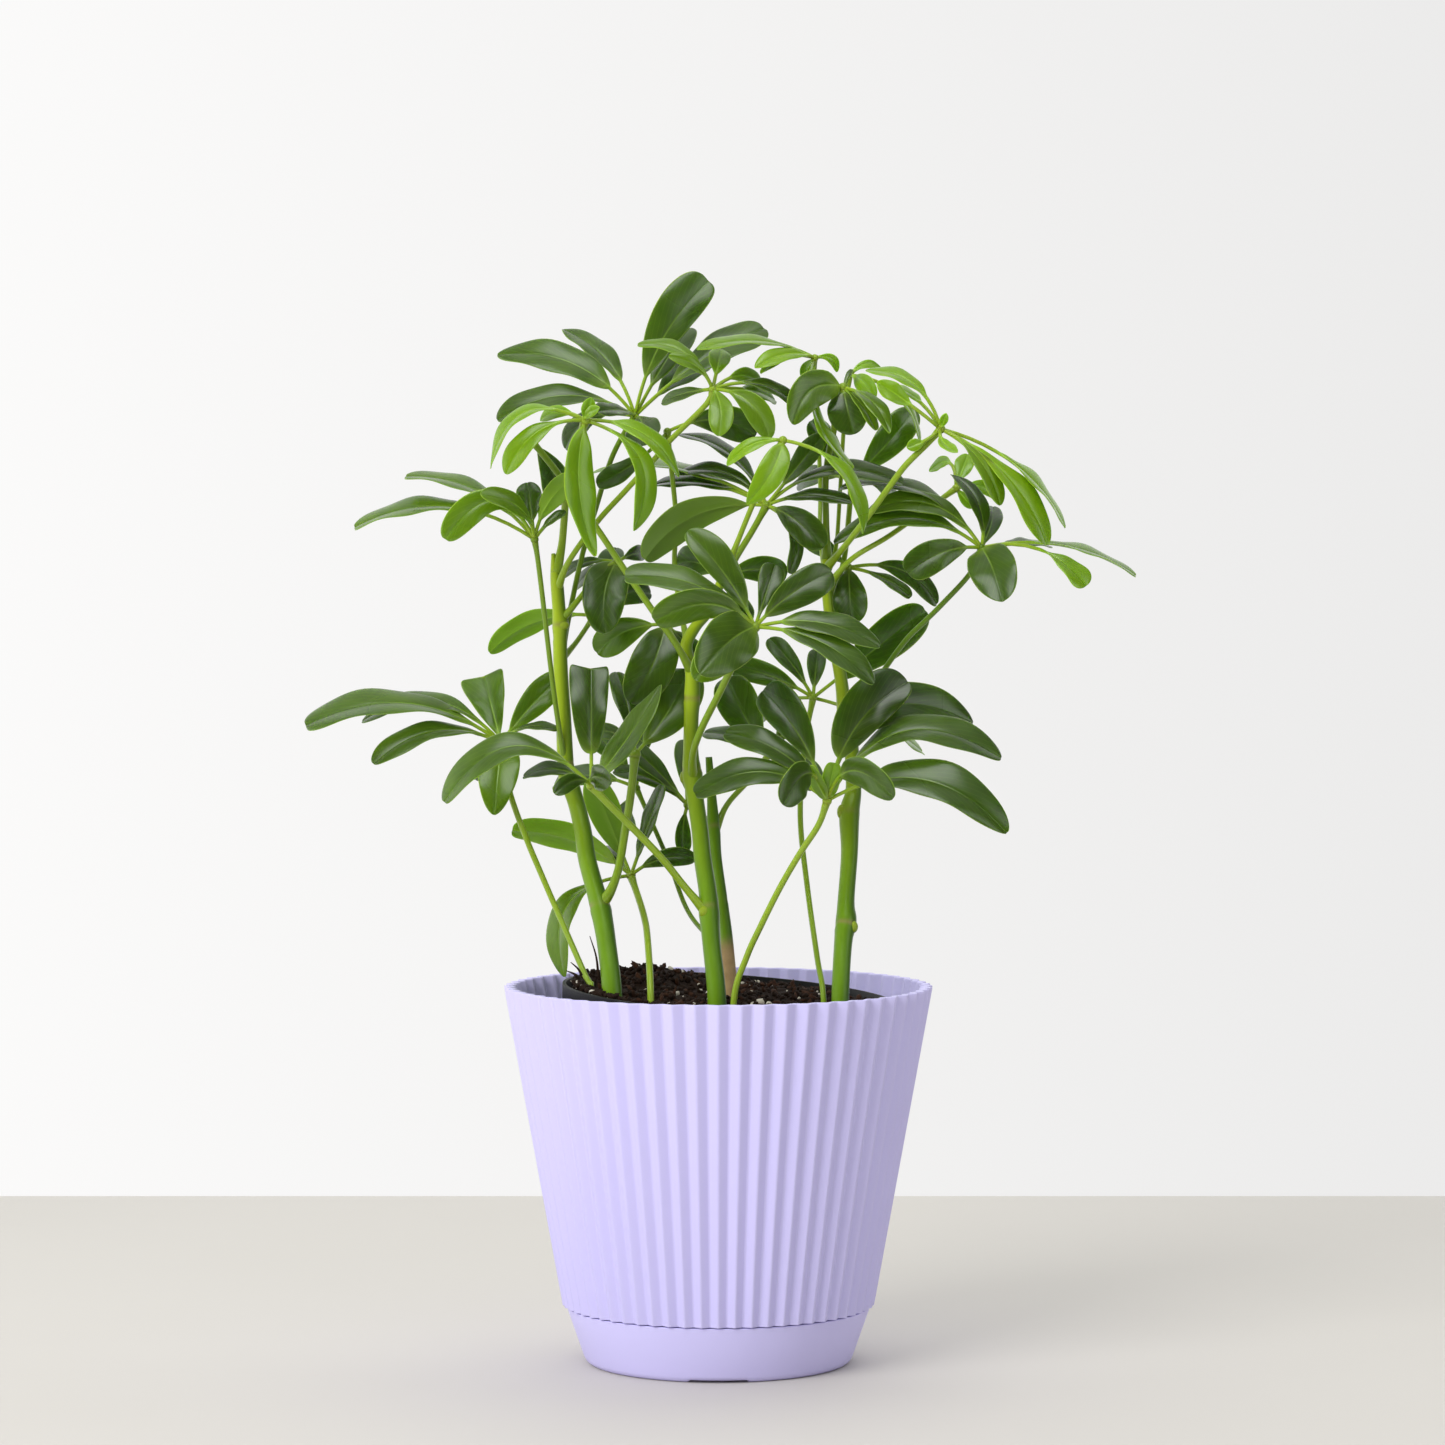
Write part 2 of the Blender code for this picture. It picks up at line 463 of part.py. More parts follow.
def stalk_radii(line, thick, flare=0.45, reach=7.0):
    """Half the width all along, wider by the flare at the foot and by a little at the hub."""
    run = np.concatenate([[0], np.cumsum(np.linalg.norm(np.diff(line, axis=0), axis=1))])
    foot = np.exp(-(run / reach) ** 2)
    head = np.exp(-((run[-1] - run) / (0.6 * reach)) ** 2)
    return thick / 2 * (1 + flare * foot + 0.25 * head)


def blade_frame(root, tip, shown):
    """Width of the leaflet, the direction of its side, the rise direction and the hidden bow.

    The blade is turned about its chord until it shows the given width to the front: the sine of the turn
    is the shown width over the true one, and the upper face leans up."""
    length = np.linalg.norm(tip - root)
    along = unit(tip - root)
    width = max(abs(shown), WIDTH_RATIO * length)
    to_eye = unit(SIGHT - (root + tip) / 2)
    front = unit(to_eye - (to_eye @ along) * along)
    rise = unit(np.cross(along, front))
    if rise[2] < 0:
        rise = -rise
    turn = math.asin(shown / width)
    normal = math.cos(turn) * rise + math.sin(turn) * front
    bow = BOW * length * math.sin(turn) * front
    return width, unit(np.cross(along, normal)), rise, bow


def leaflet(name, root, tip, shown, arch, bare, home):
    """Loft of four-point sections: a thin stalk out of the hub, then a folded blade with a blunt tip.

    The midrib is a quadratic curve whose middle stands off the chord by the arch and the bow. Every band
    is cut into triangles the same way on both faces, so that they can't cross."""
    width, side0, rise, bow = blade_frame(root, tip, shown)
    knee = (root + tip) / 2 + 2 * (arch * rise + bow)
    stations = [(0.0, STALK_HALF, 0.0), (bare, STALK_HALF, 0.0)]
    small = np.linalg.norm(tip - root) < SMALL_LEAFLET
    for share, half in SMALL_STATIONS if small else BLADE_STATIONS:
        stations.append((bare + (1 - bare) * share, half * width / 2, BLADE_FOLD * half * width))
    verts = []
    for t, half, fold in stations:
        centre = (1 - t) ** 2 * root + 2 * t * (1 - t) * knee + t**2 * tip
        along = unit((1 - t) * (knee - root) + t * (tip - knee))
        side = unit(side0 - (side0 @ along) * along)
        up = np.cross(side, along)
        for s, u in ((-half, fold), (0, BLADE_THICKNESS / 2), (half, fold), (0, -BLADE_THICKNESS / 2)):
            verts.append(centre + s * side + u * up)
    last = 4 * (len(stations) - 1)
    faces = [(3, 2, 1), (3, 1, 0), (last, last + 1, last + 2), (last, last + 2, last + 3)]
    for ring in range(0, last, 4):
        left, top, right, low = range(ring, ring + 4)
        faces += [(left, top, top + 4), (left, top + 4, left + 4)]
        faces += [(left, low + 4, low), (left, left + 4, low + 4)]
        faces += [(right, top + 4, top), (right, right + 4, top + 4)]
        faces += [(right, low, low + 4), (right, low + 4, right + 4)]
    return add_mesh(name, verts, faces, home)


def compound_leaf(name, leaf, parts, cutters):
    """Leaf stalk, hub and leaflets joined in one body, seated on its stem with the usual clearance."""
    scraps = collection(name + "_pieces")
    line = leaf_stalk_line(leaf)
    body = tube(name, line, stalk_radii(line, leaf["thick"]), int(leaf["thick"] >= 2.2), parts)
    hub = line[-1]
    ball = bmesh.new()
    bmesh.ops.create_uvsphere(ball, u_segments=6, v_segments=3, radius=(0.55 * leaf["thick"] + 1.1) * MM)
    bmesh.ops.translate(ball, verts=ball.verts, vec=(hub * MM).tolist())
    mesh = bpy.data.meshes.new(name + "_hub")
    ball.to_mesh(mesh)
    ball.free()
    scraps.objects.link(bpy.data.objects.new(name + "_hub", mesh))
    hub_y = leaf["hub"][2]
    for x, z, depth, shown, arch, bare in leaf["leaflets"]:
        leaflet(name + "_leaflet", hub, spot(x, z, hub_y + depth), shown, arch, bare, scraps)
    boolean(body, "UNION", scraps)
    for obj in list(scraps.objects):
        bpy.data.objects.remove(obj)
    bpy.data.collections.remove(scraps)
    if leaf["stem"]:
        boolean(body, "DIFFERENCE", cutters.objects[leaf["stem"] + "_clearance"])
    body.data.materials.clear()
    body.data.materials.append(material(name, leaf["colour"], 0.4))
    return body


def place_cutter(obj, name, cutters):
    """Move an object to the cutters' collection and hide it from renders."""
    obj.name = name
    for home in list(obj.users_collection):
        home.objects.unlink(obj)
    cutters.objects.link(obj)
    obj.hide_render = True
    obj.display_type = "WIRE"


def stems(parts, cutters):
    """The four stems, and for each a cutter that is wider and longer by the clearance."""
    for name in STEMS:
        line = stem_line(name)
        body = tube(name, line[:, :3], line[:, 3], 2, parts)
        colour = BROWN_STEM if name == "stem_behind" else GREEN_STEM
        body.data.materials.append(material(name, colour, 0.6))
        longer = line.copy()
        longer[-1, :3] += GAP * unit(line[-1, :3] - line[-2, :3])
        room = tube(name + "_clearance", longer[:, :3], line[:, 3] + GAP, 2, parts)
        place_cutter(room, name + "_clearance", cutters)


def pleated_ring(radius, z):
    """Ring of crests and valleys that alternate, two points to a pleat."""
    angle = np.arange(2 * PLEATS) * math.pi / PLEATS
    reach = radius + PLEAT_DEPTH * np.where(np.arange(2 * PLEATS) % 2, -1.0, 1.0)
    return np.stack([reach * np.cos(angle), reach * np.sin(angle), np.full(2 * PLEATS, z)], axis=1)


def plain_ring(radius, z):
    """Ring of one point to a pleat, under the crests."""
    angle = np.arange(PLEATS) * 2 * math.pi / PLEATS
    return np.stack([radius * np.cos(angle), radius * np.sin(angle), np.full(PLEATS, z)], axis=1)


def pleated_pot(parts):
    """Loft from the smooth foot through the pleated wall to the rim and back down inside."""
    taper = (RIM_RADIUS - SEAM_RADIUS) / (RIM_Z - SEAM_Z)
    inner_z = SEAM_Z + WALL
    rings = [
        plain_ring(FOOT_RADIUS, FOOT_Z), plain_ring(FOOT_TOP_RADIUS, SEAM_Z),
        pleated_ring(SEAM_RADIUS, SEAM_Z), pleated_ring(RIM_RADIUS, RIM_Z),
        pleated_ring(RIM_RADIUS - WALL, RIM_Z), pleated_ring(SEAM_RADIUS + taper * WALL - WALL, inner_z),
        plain_ring(FOOT_TOP_RADIUS - WALL, inner_z), plain_ring(FOOT_RADIUS - WALL, POT_FLOOR_Z)]
    verts = np.concatenate([[[0, 0, FOOT_Z], [0, 0, POT_FLOOR_Z]], *rings])
    starts = 2 + np.concatenate([[0], np.cumsum([len(r) for r in rings])])
    faces = []
    for k, (low, high) in enumerate(zip(rings, rings[1:])):
        a, b, n, m = starts[k], starts[k + 1], len(low), len(high)
        for i in range(max(n, m)):
            j = i + 1
            if n == m:
                faces.append((a + i, a + j % n, b + j % m, b + i))
            elif n < m and i % 2 == 0:
                p, q = a + i // 2, a + (i // 2 + 1) % n
                faces += [(p, b + j, b + i), (p, q, b + j), (q, b + (i + 2) % m, b + j)]
            elif n > m and i % 2 == 0:
                p, q = b + i // 2, b + (i // 2 + 1) % m
                faces += [(a + i, a + j, p), (a + j, q, p), (a + j, a + (i + 2) % n, q)]
    first, last = starts[0], starts[-2]
    for i in range(PLEATS):
        j = (i + 1) % PLEATS
        faces.append((0, first + j, first + i))
        faces.append((1, last + i, last + j))
    faces = [tuple(int(v) for v in f) for f in faces]
    pot = add_mesh("pot", verts, faces, parts)
    pot.data.materials.append(material("pot", LILAC, 0.55))
    return pot


def saucer(parts, cutters):
    """Round cup under the pot, with a notched ring to stand on and a pad in the middle."""
    top_inner = SAUCER_TOP_RADIUS - SAUCER_WALL
    floor_radius = SAUCER_BOTTOM_RADIUS - 1.2
    profile = [
        (0, 0), (STAND_PAD_RADIUS, 0), (STAND_PAD_RADIUS, STAND_Z), (STAND_INNER_RADIUS, STAND_Z),
        (STAND_INNER_RADIUS, 0), (STAND_OUTER_RADIUS, 0), (SAUCER_BOTTOM_RADIUS - 1.2, 0.7),
        (SAUCER_BOTTOM_RADIUS, SAUCER_BOTTOM_Z), (SAUCER_TOP_RADIUS, SAUCER_TOP_Z),
        (top_inner, SAUCER_TOP_Z), (floor_radius, SAUCER_FLOOR_Z), (0, SAUCER_FLOOR_Z)]
    cup = turned("saucer", profile[::-1], SAUCER_SIDES, parts)
    for k in range(NOTCHES):
        angle = -math.pi / 2 + k * 2 * math.pi / NOTCHES
        bpy.ops.mesh.primitive_cube_add(size=1)
        notch = bpy.context.active_object
        notch.scale = (14 * MM, NOTCH_WIDTH * MM, 2 * NOTCH_TOP_Z * MM)
        middle = (STAND_OUTER_RADIUS + STAND_INNER_RADIUS) / 2 * MM
        notch.location = (middle * math.cos(angle), middle * math.sin(angle), 0)
        notch.rotation_euler = (0, 0, angle)
        bpy.ops.object.transform_apply(location=False, rotation=True, scale=True)
        place_cutter(notch, f"notch_{k + 1}", cutters)
        boolean(cup, "DIFFERENCE", notch)
    cup.data.materials.clear()
    cup.data.materials.append(material("saucer", LILAC, 0.5))
    return cup


def lean(obj):
    """Stand a piece on the pleated pot's floor, tipped a little to the front and the right."""
    obj.location = (NURSERY_SHIFT * MM, 0, NURSERY_BOTTOM_Z * MM)
    obj.rotation_euler = (NURSERY_NOD, NURSERY_LEAN, 0)


def nursery_pot(parts):
    """Thin black pot with a turned-out lip, leaning a little inside the pleated one."""
    wall, lip = NURSERY_WALL, NURSERY_LIP
    height = NURSERY_TOP_Z - NURSERY_BOTTOM_Z
    profile = [
        (0, wall), (NURSERY_BASE_RADIUS - wall, wall), (NURSERY_RADIUS - wall, height - lip),
        (NURSERY_RIM_RADIUS - wall, height), (NURSERY_RIM_RADIUS, height),
        (NURSERY_RIM_RADIUS - 0.3, height - lip + wall), (NURSERY_RADIUS, height - lip),
        (NURSERY_BASE_RADIUS, 0), (0, 0)]
    pot = turned("nursery_pot", profile, 32, parts)
    lean(pot)
    pot.data.materials.append(material("nursery_pot", BLACK, 0.45))
    return pot


def soil_rise(x, y):
    """Height of the soil's lumps: three crossed waves, a mound at the back left and a fall to the front."""
    waves = np.sin(x / 6.1 + 0.7) * np.cos(y / 7.3)
    waves = waves + 0.6 * np.sin(x / 3.3 - y / 4.1) + 0.5 * np.cos(y / 2.9 + x / 9.0)
    mound = 4.9 * np.exp(-((x + 30) ** 2 + (y - 30) ** 2) / 20.0**2)
    return SOIL_RELIEF * waves / 2.1 + mound - 0.06 * np.maximum(0, 10 - y)


def soil(parts, cutters):
    """Plug that fills the nursery pot, lumpy on top, with a plain hole for each stem and leaf stalk."""
    inside = NURSERY_WALL + GAP
    base_z = NURSERY_BOTTOM_Z + inside
    spokes = 32
    angle = np.arange(spokes) * 2 * math.pi / spokes
    top_radius = NURSERY_RADIUS - inside
    rows = [(NURSERY_BASE_RADIUS - inside, None)]
    rows += [(top_radius * share, SOIL_Z) for share in (1, 0.8, 0.6, 0.4, 0.2)]
    verts = [(0, 0, base_z)]
    for radius, top in rows:
        x, y = radius * np.cos(angle), radius * np.sin(angle)
        edge = min(1.0, (top_radius - radius) / (0.2 * top_radius))
        z = np.full(spokes, base_z) if top is None else top - SOIL_EDGE * (1 - edge) + edge * soil_rise(x, y)
        verts += list(zip(x, y, z))
    verts.append((0, 0, SOIL_Z + soil_rise(0.0, 0.0)))
    peak = len(verts) - 1
    faces = []
    for i in range(spokes):
        j = (i + 1) % spokes
        faces.append((0, 1 + j, 1 + i))
        for k in range(len(rows) - 1):
            a, b = 1 + k * spokes, 1 + (k + 1) * spokes
            faces += [(a + i, a + j, b + j), (a + i, b + j, b + i)]
        a = 1 + (len(rows) - 1) * spokes
        faces.append((a + i, a + j, peak))
    plug = add_mesh("soil", np.array(verts) - [0, 0, NURSERY_BOTTOM_Z], faces, parts)
    lean(plug)
    feet = [(stem_line(name)[0][:3], stem_line(name)[0][3]) for name in STEMS]
    for leaf in LEAVES.values():
        if leaf["stem"] is None:
            line = leaf_stalk_line(leaf)
            feet.append((line[0], stalk_radii(line, leaf["thick"])[0]))
    for k, (foot, radius) in enumerate(feet):
        bpy.ops.mesh.primitive_cylinder_add(vertices=12, radius=(radius + 3 * GAP) * MM, depth=60 * MM)
        hole = bpy.context.active_object
        hole.location = (foot[0] * MM, foot[1] * MM, (STEM_ROOT_Z - GAP + 30) * MM)
        place_cutter(hole, f"hole_{k + 1}", cutters)
        boolean(plug, "DIFFERENCE", hole)
    plug.data.materials.clear()
    plug.data.materials.append(material("soil", SOIL_BROWN, 0.95))
    return plug


def main():
    clear_scene()
    parts = collection("potted_umbrella_tree")
    cutters = collection("cutters")
    saucer(parts, cutters)
    pleated_pot(parts)
    nursery_pot(parts)
    soil(parts, cutters)
    stems(parts, cutters)
    for name, leaf in LEAVES.items():
        compound_leaf(name, leaf, parts, cutters)


main()
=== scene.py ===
"""Looks of a potted dwarf umbrella tree: compound leaves, stems, pleated pot, saucer, nursery pot and soil.

Shapes are worked out in millimetres in the part's own frame and become metres where a mesh is made. The
foliage's places are the part's own: (x, z, y), with x and z as read on the upright plane through the pot's
axis from the point SIGHT in front of the plant, and y the depth behind that plane. The table's top reads
SURVEY_FLOOR there.
"""
import math

import bpy
import numpy as np
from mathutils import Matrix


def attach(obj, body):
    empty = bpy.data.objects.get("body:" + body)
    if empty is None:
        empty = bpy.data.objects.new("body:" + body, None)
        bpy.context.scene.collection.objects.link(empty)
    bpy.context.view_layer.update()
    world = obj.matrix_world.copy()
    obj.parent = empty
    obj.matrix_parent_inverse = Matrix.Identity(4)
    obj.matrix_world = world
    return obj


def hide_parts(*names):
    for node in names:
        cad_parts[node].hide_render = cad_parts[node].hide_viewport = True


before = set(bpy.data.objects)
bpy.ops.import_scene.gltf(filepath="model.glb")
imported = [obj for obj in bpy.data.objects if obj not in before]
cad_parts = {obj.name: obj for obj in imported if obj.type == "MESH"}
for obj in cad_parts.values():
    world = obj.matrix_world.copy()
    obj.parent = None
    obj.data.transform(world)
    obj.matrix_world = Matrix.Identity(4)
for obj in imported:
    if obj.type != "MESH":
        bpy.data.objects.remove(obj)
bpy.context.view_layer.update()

MM = 0.001
SURVEY_FLOOR = 1.4
SIGHT = np.array([1.45, -1610.3, 280.8])

# Camera and stage
CAMERA_TILT = 0.0335     # radians below level
LENS = 113.4
SENSOR = 36.0
TABLE_BACK_Y = 424.0     # where the pale table ends behind the pot
TABLE_FRONT_Y = -4000.0
TABLE_HALF_WIDTH = 3000.0

# Pleated pot, saucer, nursery pot and soil, as in the part
RIM_RADIUS = 75.0
RIM_Z = 133.6
SEAM_RADIUS = 54.4
SEAM_Z = 20.4
PLEATS = 60
PLEAT_DEPTH = 1.0
PLEAT_CREASE = 0.998     # 1 would make the creases perfectly sharp
WALL = 2.5
FOOT_TOP_RADIUS = 50.4
FOOT_RADIUS = 45.6
FOOT_Z = 3.9
POT_FLOOR_Z = 6.9
SAUCER_TOP_RADIUS = 54.0
SAUCER_TOP_Z = 20.0
SAUCER_BOTTOM_RADIUS = 47.7
SAUCER_WALL = 2.4
SAUCER_FLOOR_Z = 3.6
STAND_OUTER_RADIUS = 44.8
STAND_INNER_RADIUS = 41.5
STAND_Z = 1.5
STAND_PAD_RADIUS = 8.0
NOTCH_WIDTH = 20.0
NOTCHES = 3
NOTCH_TOP_Z = 1.1
NURSERY_RIM_RADIUS = 59.6
NURSERY_RADIUS = 57.8
NURSERY_BASE_RADIUS = 39.0
NURSERY_WALL = 1.2
NURSERY_BOTTOM_Z = 10.1
NURSERY_TOP_Z = 131.5
NURSERY_SHIFT = -4.0
NURSERY_LIP = 7.0
NURSERY_LEAN = math.radians(3.9)
NURSERY_NOD = math.radians(1.3)
SOIL_Z = 130.1
SOIL_EDGE = 0.8
SOIL_RELIEF = 1.2
SOIL_GAP = 0.3           # between the soil and the nursery pot's wall
SOIL_ROUNDED = 0.2       # share of the soil's radius over which its top rounds down
STEM_ROOT_Z = 104.0
STEM_SIDES = 24
POT_RINGS_PER_PLEAT = 12
SAUCER_SIDES = 240
NURSERY_SIDES = 144
SOIL_SIDES = 300
SOIL_RINGS = 84
SOIL_MOUND = (-30, 30, 20.0, 4.9)    # x and y of the mound at the back left, its spread and its height
SOIL_CRUMBS = ((5.0, 0.9), (2.3, 0.55), (1.1, 0.3))    # cell and height of each layer of crumbs
LATTICE = 97             # heights along each side of the lattice that the crumbs repeat on

# Leaflets
WIDTH_RATIO = 0.28       # a leaflet's true width over its length, stalk included
BOW = 0.08               # bulge of a blade along its own face, over its length
BLADE_HALF_THICKNESS = 0.22
STALK_HALF = 0.65
STALK_SIDES = 12
STALK_FOOT = (0.55, 7.0)    # how much wider a stalk is at its foot, and over what length
STALK_HEAD = (0.35, 3.2)    # the same under the hub
SMALL_LEAFLET = 31.0     # shorter leaflets have fewer rings along the blade
BLADE_RINGS = (22, 38)
FLATTENS = 0.14          # share of the blade over which the round stalk flattens
CHANCE_TWIST = 0.22      # greatest turn of a tip by chance, radians
FOLD = (0.30, 0.19)      # how fast the two sides rise from the midrib, and how much they level off
GROOVE = (0.16, 0.4)     # depth and half width of the groove over the midrib
RIB = (0.38, 0.5)        # height and half width of the midrib below
MARGIN_WAVE = 0.03       # height of the margin's waves over the width
MARGIN_WAVES = 2.2
BALL_CAP = 0.15          # angle at a ball's poles that a flat cap closes, radians
NO_MARGIN = 9.0          # distance to the margin that stalks and hubs give, where there is none
SIDE_VEINS = 8
VEIN_LEAN = 0.55         # how far a side vein leans to the tip, in vein spacings for each millimetre out
ACROSS = np.array([-1, -0.95, -0.8, -0.58, -0.34, -0.14, -0.05, 0, 0.05, 0.14, 0.34, 0.58, 0.8, 0.95, 1])

# Colours. A pair goes from the darker patches to the lighter ones.
MATURE_TOP = (0.0115, 0.027, 0.003), (0.057, 0.104, 0.006)
YOUNG_TOP = (0.122, 0.245, 0.003), (0.215, 0.365, 0.006)
MATURE_BELOW = (0.120, 0.200, 0.014)
YOUNG_BELOW = (0.22, 0.37, 0.015)
MATURE_RIB = (0.17, 0.27, 0.03)
YOUNG_RIB = (0.30, 0.50, 0.03)
GREEN_STALK = (0.085, 0.175, 0.005)
YELLOW_STALK = (0.23, 0.36, 0.010), (0.35, 0.48, 0.030)
# Painted light and shade on the stems: the first pair is the painted lit left side, the second the painted
# shade at the right side
PAINTED_LIT_STEM = (0.130, 0.262, 0.004), (0.315, 0.430, 0.012)    # this pair and the next: from foot to top
PAINTED_SHADE_STEM = (0.055, 0.140, 0.004), (0.110, 0.200, 0.006)
BARK = (0.23, 0.14, 0.06), (0.50, 0.35, 0.17)
SCAR = (0.25, 0.20, 0.07)
DARK_SOIL = (0.005, 0.003, 0.002), (0.026, 0.012, 0.007)
RUSTY_SOIL = (0.020, 0.008, 0.005), (0.080, 0.034, 0.017)
WHITE_GRAINS = (0.42, 0.36, 0.27), (0.80, 0.77, 0.68)
LILAC = (0.622, 0.583, 0.925)
BLACK = (0.007, 0.007, 0.008)
TABLE = (0.568, 0.543, 0.498), (0.616, 0.591, 0.546)

# Lights, in metres and watts
KEY_LIGHT = dict(place=(-1.25, -1.5, 1.15), aim=(0, 0, 0.15), size=1.2, power=34)
TOP_LIGHT = dict(place=(0.2, 0.5, 1.6), aim=(0, 0, 0.2), size=1.0, power=6)

# Surroundings: a base brightness, and for each bright place the direction to it, how much it adds, and the
# cosines at which it begins and is full. GLOW lights the scene and MIRRORED is what shiny surfaces show.
BEHIND, ABOVE, LEFT = (0, 1, 0), (0, 0, 1), (-1, 0, 0)
HIGH_IN_FRONT, RIGHT_IN_FRONT = (0, -0.45, 0.89), (0.8, -0.5, 0.33)
GLOW = 0.47, [(BEHIND, 0.48, -0.3, 0.9), (ABOVE, 0.2, -0.2, 0.9), (LEFT, 0.08, -0.2, 0.9)]
MIRRORED = 0.01, [
    (BEHIND, 1.0, 0.25, 0.85), (ABOVE, 0.6, 0.6, 0.95), (LEFT, 1.5, 0.55, 0.9),
    (HIGH_IN_FRONT, 4.4, 0.90, 0.985), (RIGHT_IN_FRONT, 2.0, 0.90, 0.985)]
GLOW_COLOUR = (0.98, 0.99, 1.0)
BACKDROP = (0.90, 0.895, 0.89)
BACKDROP_RISE = 0.45     # what the backdrop's brightness gains from straight ahead to straight left

# Stems: (x, z, y, diameter) from the soil up
STEMS = {
    "stem_left": [
        (-37.5, 130, -24, 7.0), (-39.7, 150, -17, 6.8), (-42.0, 163, -11, 7.4), (-43.4, 168, -9, 6.6),
        (-46.5, 180, -4, 6.4), (-48.0, 190, 0, 6.2), (-50.5, 200, 5, 6.0), (-53.4, 209, 5, 6.6),
        (-54.2, 214, 5, 6.0), (-54.8, 230, 5, 5.4), (-55.7, 245, 5, 5.2), (-56.0, 258, 5, 5.0),
        (-55.8, 263, 5, 6.0), (-56.4, 268, 5, 4.8), (-57.3, 279, 5, 4.4), (-58.4, 288, 6, 1.4)],
    "stem_middle": [
        (-0.5, 130, -26, 6.6), (-2.5, 150, -20, 6.4), (-3.4, 161, -16, 7.2), (-3.8, 168, -14, 6.4),
        (-5.5, 180, -10, 6.2), (-6.5, 190, -8, 6.0), (-8.3, 202, -6, 6.0), (-9.3, 210, -5, 7.2),
        (-9.8, 217, -5, 5.6), (-9.6, 230, -5, 5.2), (-9.3, 237, -5, 5.8), (-9.4, 246, -5, 4.8),
        (-11.4, 255, -4, 4.4), (-8.2, 262, -3, 4.0), (-3.2, 268, -3, 3.6), (0.5, 277, -3, 3.2),
        (4.0, 285, -3, 3.4)],
    "stem_behind": [
        (4.5, 130, -8, 4.8), (3.0, 150, -2, 4.6), (1.4, 165, 3, 3.8), (-0.6, 180, 8, 3.8),
        (-1.6, 190, 11, 4.6), (-2.4, 202, 14, 3.4), (-3.4, 216, 15, 2.4)],
    "stem_right": [
        (43.3, 130, -24, 6.2), (44.2, 150, -17, 6.4), (45.2, 158, -14, 7.4), (45.2, 165, -11, 6.0),
        (46.5, 182, -4, 6.0), (46.4, 196, 1, 7.2), (47.8, 205, 5, 5.6), (46.8, 222, 5, 5.2),
        (45.0, 228, 5, 5.6), (43.5, 243, 5, 4.6), (40.0, 262, 5, 4.2), (38.2, 276, 5, 3.6),
        (38.3, 286, 5, 3.6)],
}

